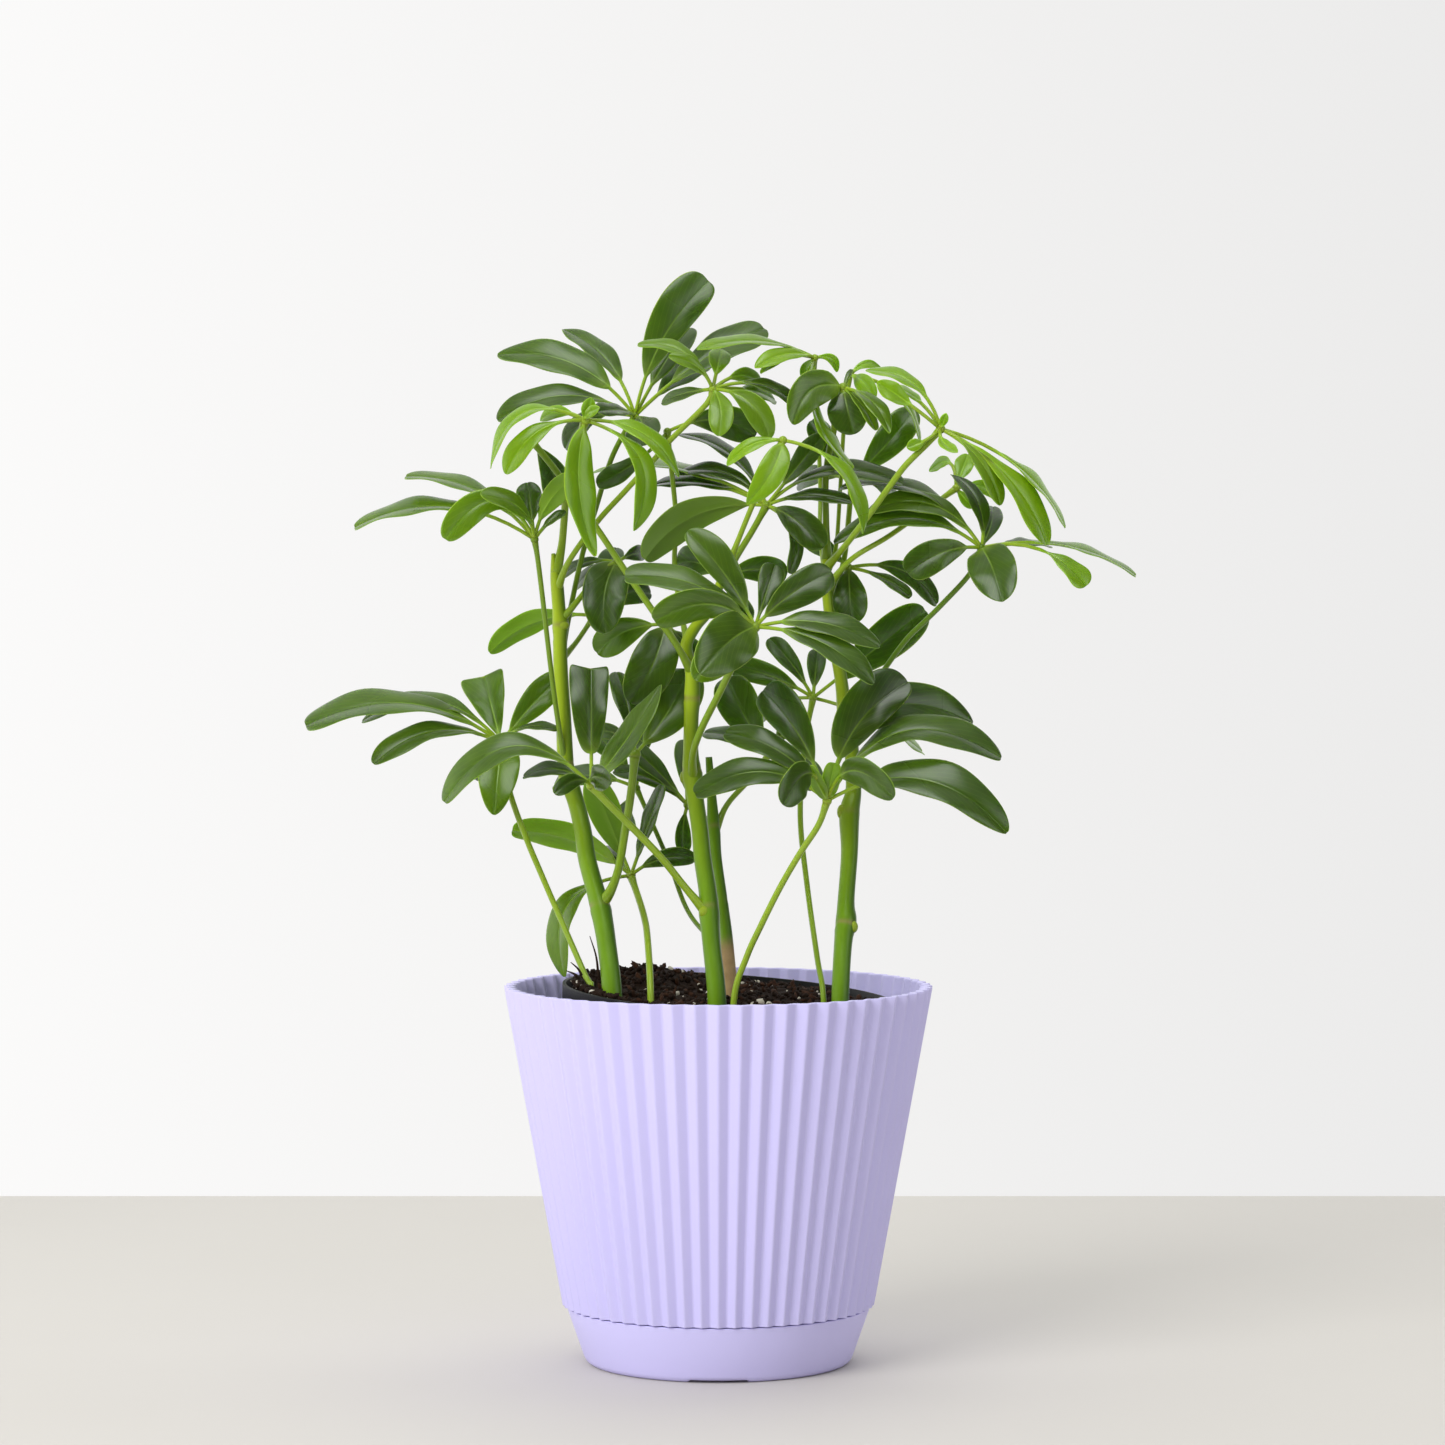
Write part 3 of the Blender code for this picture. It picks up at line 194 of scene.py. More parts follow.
# Compound leaves. "at" is the height at which the leaf stalk leaves its stem (none for one that stands in
# the soil), "way" the places the stalk passes, "hub" where the leaflets meet, "thick" the stalk's width, and
# "young" is 1 where the leaf has the yellow-green of fresh growth.
# Leaflets: (tip x, tip z, depth of the tip behind the hub, width shown to the front with minus for the
# underside, rise of the midrib above its chord, bare share of the length that is stalk).
LEAVES = {
    "leaf_top_left": dict(
        stem="stem_left", at=250, thick=1.9, hub=(-29.5, 336.5, 18),
        way=[(-52, 270, 8), (-48, 288, 11), (-43, 305, 13), (-38, 321, 15), (-33, 331, 17)],
        leaflets=[(-3.5, 384, 6, 15.5, 4.5, 0.25), (-10, 367.5, 20, 10, 1, 0.3), (-5, 356, 29, 9, 1, 0.3),
            (-55, 367, 20, 8, 5, 0.3), (-78, 358, 10, 11, 8, 0.22), (-78, 335, -8, 8, 8, 0.2),
            (-27, 326, -22, 13, 2, 0.15), (-43, 338, -26, 4.5, 1.5, 0.2), (-54, 325, 14, 8, 6, 0.3),
            (16, 367.3, 16, 11, 3, 0.3)]),
    "leaf_top_inner": dict(
        stem="stem_middle", at=257, thick=1.8, hub=(-18, 331, 10),
        way=[(-13, 266, 4), (-15.5, 283, 7), (-15, 300, 8), (-16.5, 317, 9)],
        leaflets=[(13, 329.5, 10, 12, 5, 0.25), (-43, 312.5, -3, 7, -2, 0.35)]),
    "leaf_top_young": dict(
        stem="stem_left", at=275, thick=2.0, hub=(-2, 346, -6), young=1,
        way=[(-53, 285, -1), (-43, 299, -1), (-33, 310, -1), (-22, 322, -2), (-17, 328, -3), (-4, 341, -5)],
        leaflets=[(-28.5, 361.5, 2, 5, 6, 0.25), (-17.5, 357.5, -6, 4.5, 3, 0.25), (1, 360, 16, 8, 0, 0.3),
            (15.3, 347.5, 16, 6.5, 4, 0.3), (0, 329.5, -12, 9, 2, 0.05), (28, 340, 6, 5, 5, 0.3),
            (18, 328.5, -8, 9, 5, 0.2), (20, 342, 22, 5, 2, 0.4), (-20, 341.3, 10, 4.5, 1, 0.15)]),
    "leaf_middle_young": dict(
        stem="stem_middle", at=282, thick=1.9, hub=(22.8, 328, -20), young=1,
        way=[(5.5, 289, -6), (12, 305, -12), (19, 321, -19)],
        leaflets=[(10, 305.5, -8, 10, -2, 0.05), (51, 295, -4, 5, 9, 0.25), (3, 319, -4, 5, 3, 0.1)]),
    "leaf_middle_dark": dict(
        stem="stem_middle", at=280, thick=2.3, hub=(17, 305, 4),
        way=[(7, 288, 0), (12, 296, 2)],
        leaflets=[(-26, 286, -10, -13, 7, 0.12), (-15, 316, 14, 6, 6, 0.15), (-14, 330, 20, 5, 6, 0.15),
            (-23, 312, 26, 6, 4, 0.3), (65, 312.5, -6, 6, 8.5, 0.2), (47, 306, -8, 5, 3, 0.2),
            (37, 290, -12, 11, 2, 0.15), (25, 281, -10, 4, 6, 0.2), (-44, 316.5, 34, 4.5, 7, 0.25),
            (37, 330, -2.5, 8, 0, 0.3)]),
    "leaf_top_right": dict(
        stem="stem_right", at=286, thick=2.4, hub=(44, 346.5, 5),
        way=[(38, 300, 5), (38, 316, 5), (41, 333, 5)],
        leaflets=[(26.5, 333.5, -14, 13, 6, 0.05), (60.5, 330.5, -18, 5, 3.5, 0.2),
            (55.5, 331.5, -13, 4, 1.5, 0.1), (47.5, 330, -6, 14.5, 0, 0.12), (47, 353, 4, 2, 0, 0.2)]),
    "leaf_tip_young": dict(
        stem="stem_right", at=277, thick=1.6, hub=(34, 357, 8), young=1,
        way=[(36, 294, 18), (36, 312, 30), (35, 335, 28), (34, 350, 14)],
        leaflets=[(-7.5, 359.8, -12, 3.2, 4.5, 0.12), (13, 353.5, -16, 5, 3, 0.1),
            (15, 351.5, -13, 2.5, 3, 0.1), (29.5, 350, -3, 5, 0, 0.1), (41.8, 352, 4, 3.5, 3, 0.1),
            (47.5, 318, -16, 4.5, -6, 0.3)]),
    "leaf_tip_small": dict(
        stem="stem_right", at=280, thick=1.5, hub=(46.5, 351, 16), young=1,
        way=[(41.5, 290, 10), (43, 310, 15), (44.5, 335, 15)],
        leaflets=[(71, 326.5, 4, 3, 7, 0.3), (55.5, 343, -14, 7, 1, 0.15), (58, 352.5, 6, 3, 3, 0.1)]),
    "leaf_right_behind": dict(
        stem="stem_right", at=270, thick=2.0, hub=(47, 314, 24),
        way=[(44, 284, 16), (46, 300, 22)],
        leaflets=[(33, 335, 2, 9, 0, 0.15), (69, 339, 6, 12, -1, 0.15), (28, 312, 24, 8, 3, 0.2),
            (62, 308, 26, 8, 3, 0.2)]),
    "leaf_right_high": dict(
        stem="stem_right", at=283, thick=2.2, hub=(78.5, 332, -10), young=1,
        way=[(45, 291, -5), (52, 300, -12), (60, 311, -15), (66, 319, -15), (74, 327, -12)],
        leaflets=[(52, 352.5, 6, 5, 6.5, 0.3), (58, 348, 14, 3.5, 3, 0.4), (56, 348.5, -4, 6.5, 0.5, 0.5),
            (99.5, 305, -4, 7, 4, 0.2), (116, 291, 2, 8.5, 6, 0.15), (122.5, 297, 14, 4.5, 6.5, 0.35),
            (84.5, 323.8, -14, 4, -2, 0.3), (80.5, 337.5, -6, 3, 0, 0.25),
            (66.5, 325.5, -6, 4.5, -1, 0.6)]),
    "leaf_right_small": dict(
        stem="stem_right", at=276, thick=1.9, hub=(84, 311, 17), young=1,
        way=[(47, 286, -3), (60, 294, 4), (72, 302.5, 14)],
        leaflets=[(88, 323, 8, 7, 0, 0.2), (74.5, 317, 14, 5.5, 6.5, 0.5), (90, 304, 2, 4, 0, 0.1),
            (98, 307, 14, 5, 3, 0.2)]),
    "leaf_right_long": dict(
        stem="stem_right", at=226, thick=1.9, hub=(93, 290, 0),
        way=[(56, 243, 4), (66, 257, 4), (73, 264, 3), (80, 271, 2), (89, 281, 1)],
        leaflets=[(82, 316, 10, 6, 5, 0.15), (97, 304.5, 20, 7.5, -1, 0.1), (67, 281, -10, 12, 3, 0.2),
            (100.5, 271, -20, 17, 1, 0.03), (147.5, 280, 6, 2.6, 6, 0.3), (130, 276.5, -10, 6.5, 6.5, 0.5),
            (117, 290.5, 20, 3.5, 1.5, 0.3), (53, 303, 2, 8, 9, 0.15), (41, 291.5, 3, 8, 10, 0.15),
            (43, 311, 10, 5, 10, 0.2)]),
    "leaf_right_inner": dict(
        stem="stem_right", at=262, thick=2.0, hub=(46, 283, 13),
        way=[(43, 272, 10)],
        leaflets=[(30.5, 293.5, 12, 7.5, 1, 0.15), (47, 263, -12, 12.5, 0, 0.05),
            (77, 270, 8, 9, 6.5, 0.25), (68, 272.5, -6, 4, 2, 0.3)]),
    "leaf_left_young": dict(
        stem="stem_left", at=281, thick=2.6, hub=(-47, 335, -16), young=1,
        way=[(-55.5, 290, 6), (-54.5, 300, 5), (-53.8, 308, 2), (-51, 322, -7)],
        leaflets=[(-80.5, 318, -4, 4, 12, 0.2), (-75, 316, -10, 7.5, 6, 0.2), (-63, 335, 10, 5, 3, 0.25),
            (-43.5, 287, -10, 11, -4, 0.05), (-14, 315, 4, 6.5, 6.5, 0.2), (-30, 296, -8, 7, 12, 0.15),
            (-45, 343, -6, 5, 0, 0.1), (-42, 339.5, -12, 3.5, 1, 0.2)]),
    "leaf_left_hidden": dict(
        stem="stem_middle", at=246, thick=2.3, hub=(-67, 329, -4),
        way=[(-15, 256, -12), (-22, 266, -14), (-33, 282, -12), (-43, 297, -9), (-55, 314, -6),
             (-62, 323, -5)],
        leaflets=[(-57, 305, 18, 11, 3, 0.15)]),
    "leaf_left_upper": dict(
        stem="stem_left", at=212, thick=1.8, hub=(-65, 293, -14),
        way=[(-57, 230, -2), (-59, 245, -5), (-61, 262, -8), (-62.5, 275, -11), (-64, 287, -13)],
        leaflets=[(-128.5, 297, 4, 6.5, 9.5, 0.3), (-110.5, 315, 10, 5.5, 6.5, 0.2),
            (-96.5, 293, -14, 10.5, 13.5, 0.12), (-84, 309, -20, 6, 5, 0.2), (-67.5, 313, 8, 9, 0, 0.3),
            (-50, 315.5, 0, -8.5, 3, 0.25), (-54, 303, 4, 3, 1, 0.3)]),
    "leaf_left_behind": dict(
        stem="stem_left", at=250, thick=1.8, hub=(-44, 266, 22),
        way=[(-50, 257, 14)],
        leaflets=[(-81, 253, 4, -9, 5, 0.15), (-36, 290, 22, 9, 1, 0.15), (-24, 274, 20, 9, 3, 0.15)]),
    "leaf_centre_dark": dict(
        stem="stem_middle", at=249, thick=1.9, hub=(-19, 263, 6),
        way=[(-14, 255, 1)],
        leaflets=[(-31.5, 235.5, -12, 16.5, -2, 0.05), (-43, 253, 4, 12, 3, 0.15),
            (-6, 246, 16, 10, 2, 0.15)]),
    "leaf_centre_behind": dict(
        stem="stem_middle", at=268, thick=1.9, hub=(1, 279, 9),
        way=[(-1.5, 274, 5)],
        leaflets=[(-15, 284, 10, 12, 3, 0.15), (24, 280, 4, 10, 3, 0.15), (8, 262, 20, 10, 2, 0.15)]),
    "leaf_left_dark": dict(
        stem="stem_left", at=264, thick=1.9, hub=(-36, 285, 12),
        way=[(-50, 271, 3), (-42, 281, 8)],
        leaflets=[(-40, 259.8, -16, 16, 2.5, 0.03), (-56, 279, 8, 4, 3, 0.2), (-26, 288, 16, 6, 1, 0.2),
            (-50, 276, 14, 5, 2, 0.2)]),
    "leaf_far_left": dict(
        stem=None, thick=2.1, hub=(-77, 221, 12),
        way=[(-45, 133, -18), (-47, 138, -15), (-57, 161, -4), (-63, 175, 0), (-68, 187, 3), (-74, 204, 9)],
        leaflets=[(-146, 227, -9, 8.5, 11, 0.15), (-126, 228.5, 7, 6.5, 11, 0.15),
            (-122, 213.5, -18, 6, 8, 0.15), (-83, 245, 14, 16, 0, 0.1), (-55, 245, 12, 11, 1, 0.15),
            (-57, 225.5, -10, 2.6, 3.5, 0.3), (-79.5, 195.5, -16, 15, 0, 0.05), (-86, 208, 16, 8, 1, 0.3)]),
    "leaf_left_front": dict(
        stem="stem_middle", at=161, thick=2.6, hub=(-45, 206, -28),
        way=[(-12, 170, -18), (-20, 180, -21), (-30, 190.5, -24), (-40, 200.5, -27)],
        leaflets=[(-97, 200, -6, 9.5, 16.5, 0.15), (-45, 248, 12, 14, 0, 0.25),
            (-20.2, 241.5, 8, 9, -1, 0.12), (-38, 206.5, -24, 9, 3, 0.2), (-58, 203, -18, 6, 3, 0.2),
            (-69, 209, 12, 6, 4, 0.2)]),
    "leaf_centre_front": dict(
        stem="stem_middle", at=208, thick=2.5, hub=(13, 262, -36),
        way=[(-9, 217, -14), (-6, 226, -20), (0, 238, -28), (5, 248, -33)],
        leaflets=[(-11, 295.7, 4, 11, 2, 0.15), (-33, 280, -2, 8.5, 6, 0.15),
            (-22.5, 264, -10, 11.5, 7, 0.15), (-6.5, 245.5, -24, 19, 2, 0.02),
            (-8.5, 243.5, -14, 14, 1, 0.15), (20, 284, 10, 9, 0, 0.15), (40, 281.5, 6, 12.5, 2, 0.15),
            (57, 255, 0, 8, 5, 0.2), (55, 242, -8, 9, 5, 0.2)]),
    "leaf_low_right": dict(
        stem=None, thick=2.2, hub=(38.5, 200.5, -36),
        way=[(5.5, 130, -32), (10, 145, -30), (15, 156, -30), (22, 170, -30), (29, 182, -32),
             (35.5, 192, -34.5)],
        leaflets=[(-8, 202.5, -4, 10.5, 9, 0.25), (23, 199, -24, 12, 10, 0.42), (2.5, 224.5, 6, 9, 5, 0.2),
            (15.8, 239.5, 10, 14, 3, 0.3), (66.9, 242.7, 8, 17, 6, 0.28), (100, 215.5, 4, 8, 17, 0.2),
            (102, 189, -10, 12, 13, 0.2), (62, 201.5, -26, 10.5, 10, 0.3), (90, 228, 22, 16, 19, 0.3),
            (31.7, 212.8, -10, 5, 0, 0.1), (41, 214, -6, 6.5, 0, 0.1)]),
    "leaf_back_right": dict(
        stem=None, thick=2.0, hub=(33.5, 237, 28),
        way=[(37.3, 130, -20), (35, 145, -8), (31.5, 170, 10), (29, 195, 20), (30.5, 220, 26)],
        leaflets=[(4, 248, 6, 9, 2, 0.2), (18, 258, 10, 7, 1, 0.2), (35, 254, 12, 7, 0, 0.2),
            (73, 268, 2, 15, 0, 0.2), (72, 217.5, 30, 5, 3, 0.4), (14, 228, 34, 10, 4, 0.2)]),
    "leaf_back_centre": dict(
        stem="stem_behind", at=188, thick=2.0, hub=(18, 217, 24),
        way=[(3, 199, 16), (11, 208, 20)],
        leaflets=[(3, 244, 4, 15, -1, 0.15), (-5, 224.5, 20, 6, 2, 0.15), (30, 232, 24, 9, 1, 0.2),
            (34, 205, 22, 9, 4, 0.2)]),
    "leaf_low_left": dict(
        stem=None, thick=2.4, hub=(-31, 174, 17),
        way=[(-24, 130, -22), (-25, 150, -6), (-26.5, 160, 5)],
        leaflets=[(-45, 209, 8, -12, 0, 0.2), (-73, 190, -4, -10.5, 4.5, 0.15),
            (-54.5, 138, -10, 8.5, 13, 0.2), (-41, 184, 24, 6, 1, 0.2), (-20, 206, 4, 6, 0, 0.2),
            (-8, 180, 2, 7, 3, 0.2)]),
    "leaf_centre_left": dict(
        stem="stem_left", at=164, thick=2.9, hub=(-29.5, 217, -8),
        way=[(-38.5, 168, -12), (-35.5, 176, -11), (-33, 190, -7), (-31, 203, -7)],
        leaflets=[(-11, 247, 22, 18, -2, 0.12), (-36, 246, 20, 9, 1, 0.2), (-46, 224, 8, 6, 4, 0.2)]),
    "leaf_back_left": dict(
        stem="stem_behind", at=192, thick=1.8, hub=(-11, 199, 26),
        way=[(-6, 195, 20)],
        leaflets=[(-37, 211, 8, 6, 3, 0.15), (-35, 223, 6, 7, 1, 0.15), (-12, 222, 18, 8, 0, 0.2),
            (-12, 182, -4, 6, 1, 0.2)]),
    "leaf_back_low": dict(
        stem="stem_behind", at=146, thick=1.7, hub=(-29, 205, 34),
        way=[(-10, 160, 19), (-18, 180, 26)],
        leaflets=[(-50, 228, 14, 10, 3, 0.2), (-22, 240, 20, 10, 1, 0.2), (-58, 206, 22, 9, 4, 0.2),
            (-30, 190, 28, 9, 4, 0.2)]),
}


# Leaflets unlike the rest of their leaf, by leaf and number of the leaflet: how much brighter, as painted
# sheen where above 0 and painted shade where below, and how much younger in colour
PAINTED_LIGHT_AND_YOUTH = {
    "leaf_low_left": {0: (0.1, 0.2), 1: (0.15, 0.55), 2: (0.1, 0.45)},
    "leaf_centre_left": {0: (0, 0.12)},
    "leaf_left_upper": {0: (0.35, 0.2), 1: (0.4, 0.2), 2: (0.3, 0.35), 3: (0.2, 0.4), 5: (0.1, 0.35)},
    "leaf_left_behind": {0: (0.15, 0.45)},
    "leaf_right_long": {0: (-0.15, 0), 2: (0.15, 0), 3: (0.3, 0), 4: (0.3, 0.4), 5: (0.15, 0.8),
        7: (0.35, 0.05), 8: (0.4, 0.1)},
    "leaf_middle_dark": {0: (-0.15, 0.05), 1: (-0.2, 0), 2: (-0.2, 0), 3: (-0.2, 0), 8: (0.2, 0.7)},
    "leaf_middle_young": {0: (-0.1, 0)},
    "leaf_top_right": {0: (0.3, 0.15), 1: (0.15, 0.3), 2: (0.15, 0.3)},
    "leaf_right_behind": {1: (0.25, 0.1)},
    "leaf_top_young": {0: (-0.1, -0.4), 1: (-0.1, -0.4), 2: (0.1, -0.5), 3: (0.1, -0.55), 4: (0, -0.3),
        5: (-0.1, -0.95), 6: (0, -0.6), 7: (0, -0.5), 8: (0, -0.95)},
    "leaf_tip_young": {0: (0, -0.2)},
    "leaf_far_left": {0: (0.3, 0.1), 1: (0.2, 0.1), 2: (0.1, 0.1), 3: (0.5, 0.05), 4: (0.15, 0.15),
        6: (0.1, 0.3)},
    "leaf_left_front": {0: (0.35, 0.08), 1: (-0.1, 0), 2: (0.15, 0.05)},
    "leaf_low_right": {3: (-0.15, 0), 4: (-0.1, 0), 5: (0.15, 0), 6: (0.15, 0), 7: (0.2, 0), 9: (0.2, 0.55),
        10: (0.2, 0.55)},
    "leaf_back_right": {4: (0.15, 0.5)},
    "leaf_centre_dark": {0: (-0.1, 0), 1: (0.1, 0.25)},
    "leaf_centre_front": {0: (0.2, 0.05), 1: (0.4, 0.08), 2: (0.3, 0.06), 3: (0.6, 0), 4: (0.2, 0.3),
        5: (-0.1, 0), 7: (0.4, 0), 8: (0.45, 0)},
    "leaf_top_left": {0: (0.15, 0), 3: (0.25, 0.08), 4: (0.3, 0.05), 5: (0.15, 0.05), 9: (0.15, 0)},
    "leaf_right_high": {3: (-0.1, -0.3), 4: (0.1, 0), 5: (0.15, 0)},
}

# How yellow a leaf's stalk is, where it differs from the rest
STALK_TONES = {
    "leaf_right_long": 0.1, "leaf_left_upper": 0.35, "leaf_back_low": 0.2, "leaf_top_left": 0.3,
    "leaf_low_right": 0.9, "leaf_left_front": 0.9, "leaf_far_left": 0.8, "leaf_low_left": 0.8,
}

# Outlines of leaflets that differ from the rest, by leaf and number of the leaflet: rise power, fall power
# and, where they aren't 0, unevenness, notch and turn of the tip
SHAPES = {
    "leaf_top_left": {0: (0.75, 0.3, -0.18), 3: (0.7, 0.7), 4: (0.6, 0.6)},
    "leaf_left_front": {0: (0.7, 0.4), 1: (0.36, 0.06, -0.12, 0.12), 2: (0.5, 0.7)},
    "leaf_far_left": {0: (0.7, 0.32, 0, 0, 0.12), 2: (0.6, 0.4, 0, 0, 0.25), 3: (0.75, 0.07, -0.1, 0.1),
        6: (0.3, 0.6)},
    "leaf_low_right": {0: (0.5, 0.3), 1: (0.6, 0.4), 2: (0.6, 0.3), 3: (0.8, 0.28, 0.12),
        4: (0.6, 0.34, -0.2), 5: (0.6, 0.42, 0, 0, 0.35), 6: (0.55, 0.55, -0.12, 0, 0.15), 7: (0.5, 0.4),
        8: (0.6, 0.45, 0, 0, 0.12), 9: (0.4, 0.25), 10: (0.4, 0.25)},
    "leaf_left_dark": {0: (0.35, 0.45)},
    "leaf_centre_dark": {0: (0.5, 0.45)},
    "leaf_centre_front": {0: (0.8, 0.45, 0.2), 1: (0.7, 0.3), 2: (0.6, 0.3), 3: (0.45, 0.5), 4: (0.5, 0.5),
        5: (1.2, 0.35), 6: (0.7, 0.35, 0.1), 7: (0.6, 0.5), 8: (0.7, 0.5)},
    "leaf_right_long": {0: (0.8, 0.9), 2: (0.7, 0.3), 3: (0.4, 0.5), 5: (1.6, 0.4)},
    "leaf_left_upper": {2: (1.2, 0.4)},
    "leaf_right_high": {3: (1.2, 0.6), 4: (1.5, 0.6), 5: (1.3, 0.8)},
    "leaf_top_right": {0: (0.4, 0.55), 1: (0.7, 0.8), 3: (0.45, 0.5)},
    "leaf_left_young": {0: (0.7, 0.9), 1: (1.1, 0.55), 3: (0.7, 0.8)},
    "leaf_middle_young": {0: (0.55, 0.7)},
    "leaf_low_left": {1: (0.6, 0.35)},
}

# White grains on the soil that stand out: place from the nursery pot's axis, and half size
PERLITE = [
    (-22, 36, 1.3), (-17.5, 37, 1.2), (-14, 44, 1.0), (-47, 38, 1.0), (-30, 0, 1.1), (-19, -5, 1.2),
    (8, -10, 1.0), (14, -10, 1.3), (11, -8, 1.8), (24, -8, 1.1), (28, -10, 1.0), (-8, 12, 0.9)]

# Grains on the soil: how many, grain value from dark 0 to white 1, least and greatest half size, how drawn
# out, the share of the soil's area inside which none lie, and the angles between which they lie
ALL_ROUND = (0.0, 2 * math.pi)
AT_LEFT = (2.45, 3.9)
GRAINS = [
    (1500, 0.0, 0.5, 1.5, 1.0, 0.0, ALL_ROUND), (300, 0.5, 0.5, 1.3, 2.6, 0.0, ALL_ROUND),
    (120, 1.0, 0.35, 0.95, 1.2, 0.0, ALL_ROUND), (420, 0.25, 0.6, 1.6, 1.6, 0.82, AT_LEFT),
    (70, 0.92, 0.4, 1.1, 1.8, 0.86, AT_LEFT)]
GRAIN_SEAT = 0.3         # how high a grain's middle lies over the soil, over its half size
GRAIN_MARGIN = 1.0       # how far the grains keep from the soil's edge
CRUST_RISE = 2.2         # how far the crust at the left climbs at the soil's edge

# How the stems' bark changes, by height: from green to yellow-green, and from corky brown to green on the
# stem behind
YELLOWING = (150, 250)
CORKY = (145, 152)
BEHIND_STEM_GREENER = 0.9

# Scar rings: height, depth over the stem's radius, and rise from the right to the left side
SCARS = {
    "stem_left": [(163.5, 0.05, 0.8), (210, 0.06, 1.0), (214, 0.04, -0.5), (258, 0.06, 0.9),
                  (262.5, 0.05, 0.3)],
    "stem_middle": [(163, 0.05, 0.8), (212, 0.05, -0.8), (237, 0.06, 0.4)],
    "stem_behind": [(165, 0.05, 0.5), (190, 0.05, 0.5)],
    "stem_right": [(157, 0.06, 0.9), (197, 0.04, -0.7), (228, 0.05, 0.5)],
}
SCAR_GROOVE = 0.45            # half width
SCAR_SWELLING = (0.6, 1.4, 1.0)    # height over the groove's depth, how far below it, and half width
SCAR_MARK = (0.75, 0.4)       # strength of the scar's colour, and half width

# Buds and old leaf joints on the stems: height, angle round the stem, how far out, and half sizes
BUDS = {
    "stem_right": [(157, -0.35, -0.6, (1.7, 1.7, 2.2)), (196.5, 3.5, -0.8, (1.9, 1.9, 2.8))],
    "stem_left": [(212, -2.6, -0.6, (1.4, 1.4, 1.8)), (262.5, -1.0, -0.9, (2.0, 1.6, 1.6))],
    "stem_middle": [(162.5, -2.2, -0.9, (1.9, 1.9, 2.2)), (209, 2.9, -0.9, (2.0, 2.0, 2.6))],
}

# Dark slivers that stick up out of the soil: their two ends as the survey shows them, and their depth
SLIVERS = [((-52.4, 143.2), (-48.5, 138.5), -24), ((-45.6, 152.5), (-42.5, 138), -22),
           ((-54, 140.2), (-50, 138), -20)]
SLIVER_BEND = 0.7
SLIVER_HALF = (0.55, 0.15)    # half thickness at the foot and at the tip
SLIVER_SIDES = 7


def spot(x, z, y):
    """The point at depth y on the line from the sighting point through (x, 0, z)."""
    return SIGHT + (np.array([x, 0.0, z - SURVEY_FLOOR]) - SIGHT) * (1 - y / SIGHT[1])


def unit(v):
    """Each vector at length 1."""
    return v / np.linalg.norm(v, axis=-1, keepdims=True)


def turns(count):
    """Angles of that many equal steps round a circle."""
    return np.arange(count) * 2 * math.pi / count


def ease(low, high, x):
    """0 below low, 1 above high, and 3t^2 - 2t^3 between them."""
    t = np.clip((x - low) / (high - low), 0, 1)
    return t * t * (3 - 2 * t)


def lattice_noise(x, y, cell, rng):
    """Random heights from -1 to 1 on a square lattice, blended between its corners by 3t^2 - 2t^3."""
    heights = rng.uniform(-1, 1, (LATTICE, LATTICE))
    gx, gy = x / cell + 40.5, y / cell + 40.5
    ix, iy = np.floor(gx).astype(int), np.floor(gy).astype(int)
    tx, ty = ease(0, 1, gx - ix), ease(0, 1, gy - iy)
    left, right = ix % LATTICE, (ix + 1) % LATTICE
    near, far = iy % LATTICE, (iy + 1) % LATTICE
    low = heights[left, near] * (1 - tx) + heights[right, near] * tx
    high = heights[left, far] * (1 - tx) + heights[right, far] * tx
    return low * (1 - ty) + high * ty


def smooth_way(points, step):
    """A Catmull-Rom curve through the points, with a point about every step and at both ends."""
    pts = np.array([2 * points[0] - points[1], *points, 2 * points[-1] - points[-2]])
    out = []
    for a, b, c, d in zip(pts, pts[1:], pts[2:], pts[3:]):
        count = max(1, round(float(np.linalg.norm((c - b)[:3])) / step))
        t = (np.arange(count) / count)[:, None]
        out.append(0.5 * (2 * b + (c - a) * t + (2 * a - 5 * b + 4 * c - d) * t**2
                          + (3 * b - a - 3 * c + d) * t**3))
    return np.concatenate([*out, [points[-1]]])


def run_length(line):
    """Distance along a line at each of its points."""
    steps = np.linalg.norm(np.diff(line[:, :3], axis=0), axis=1)
    return np.concatenate([[0], np.cumsum(steps)])


def round_rings(line, radii, sides):
    """Circles square to a line. Their first axis is square to the line and to Y, which no line here follows.

    radii may be one number for each ring, or one for each point of each ring."""
    along = unit(np.gradient(line, axis=0))
    side = unit(np.cross(along, [0.0, 1.0, 0.0]))
    up = np.cross(side, along)
    turn = turns(sides)
    reach = radii if np.ndim(radii) == 2 else radii[:, None]
    spokes = np.cos(turn)[:, None] * side[:, None] + np.sin(turn)[:, None] * up[:, None]
    return line[:, None] + reach[..., None] * spokes


def put(name, data):
    """A new object at the origin."""
    obj = bpy.data.objects.new(name, data)
    bpy.context.scene.collection.objects.link(obj)
    return obj


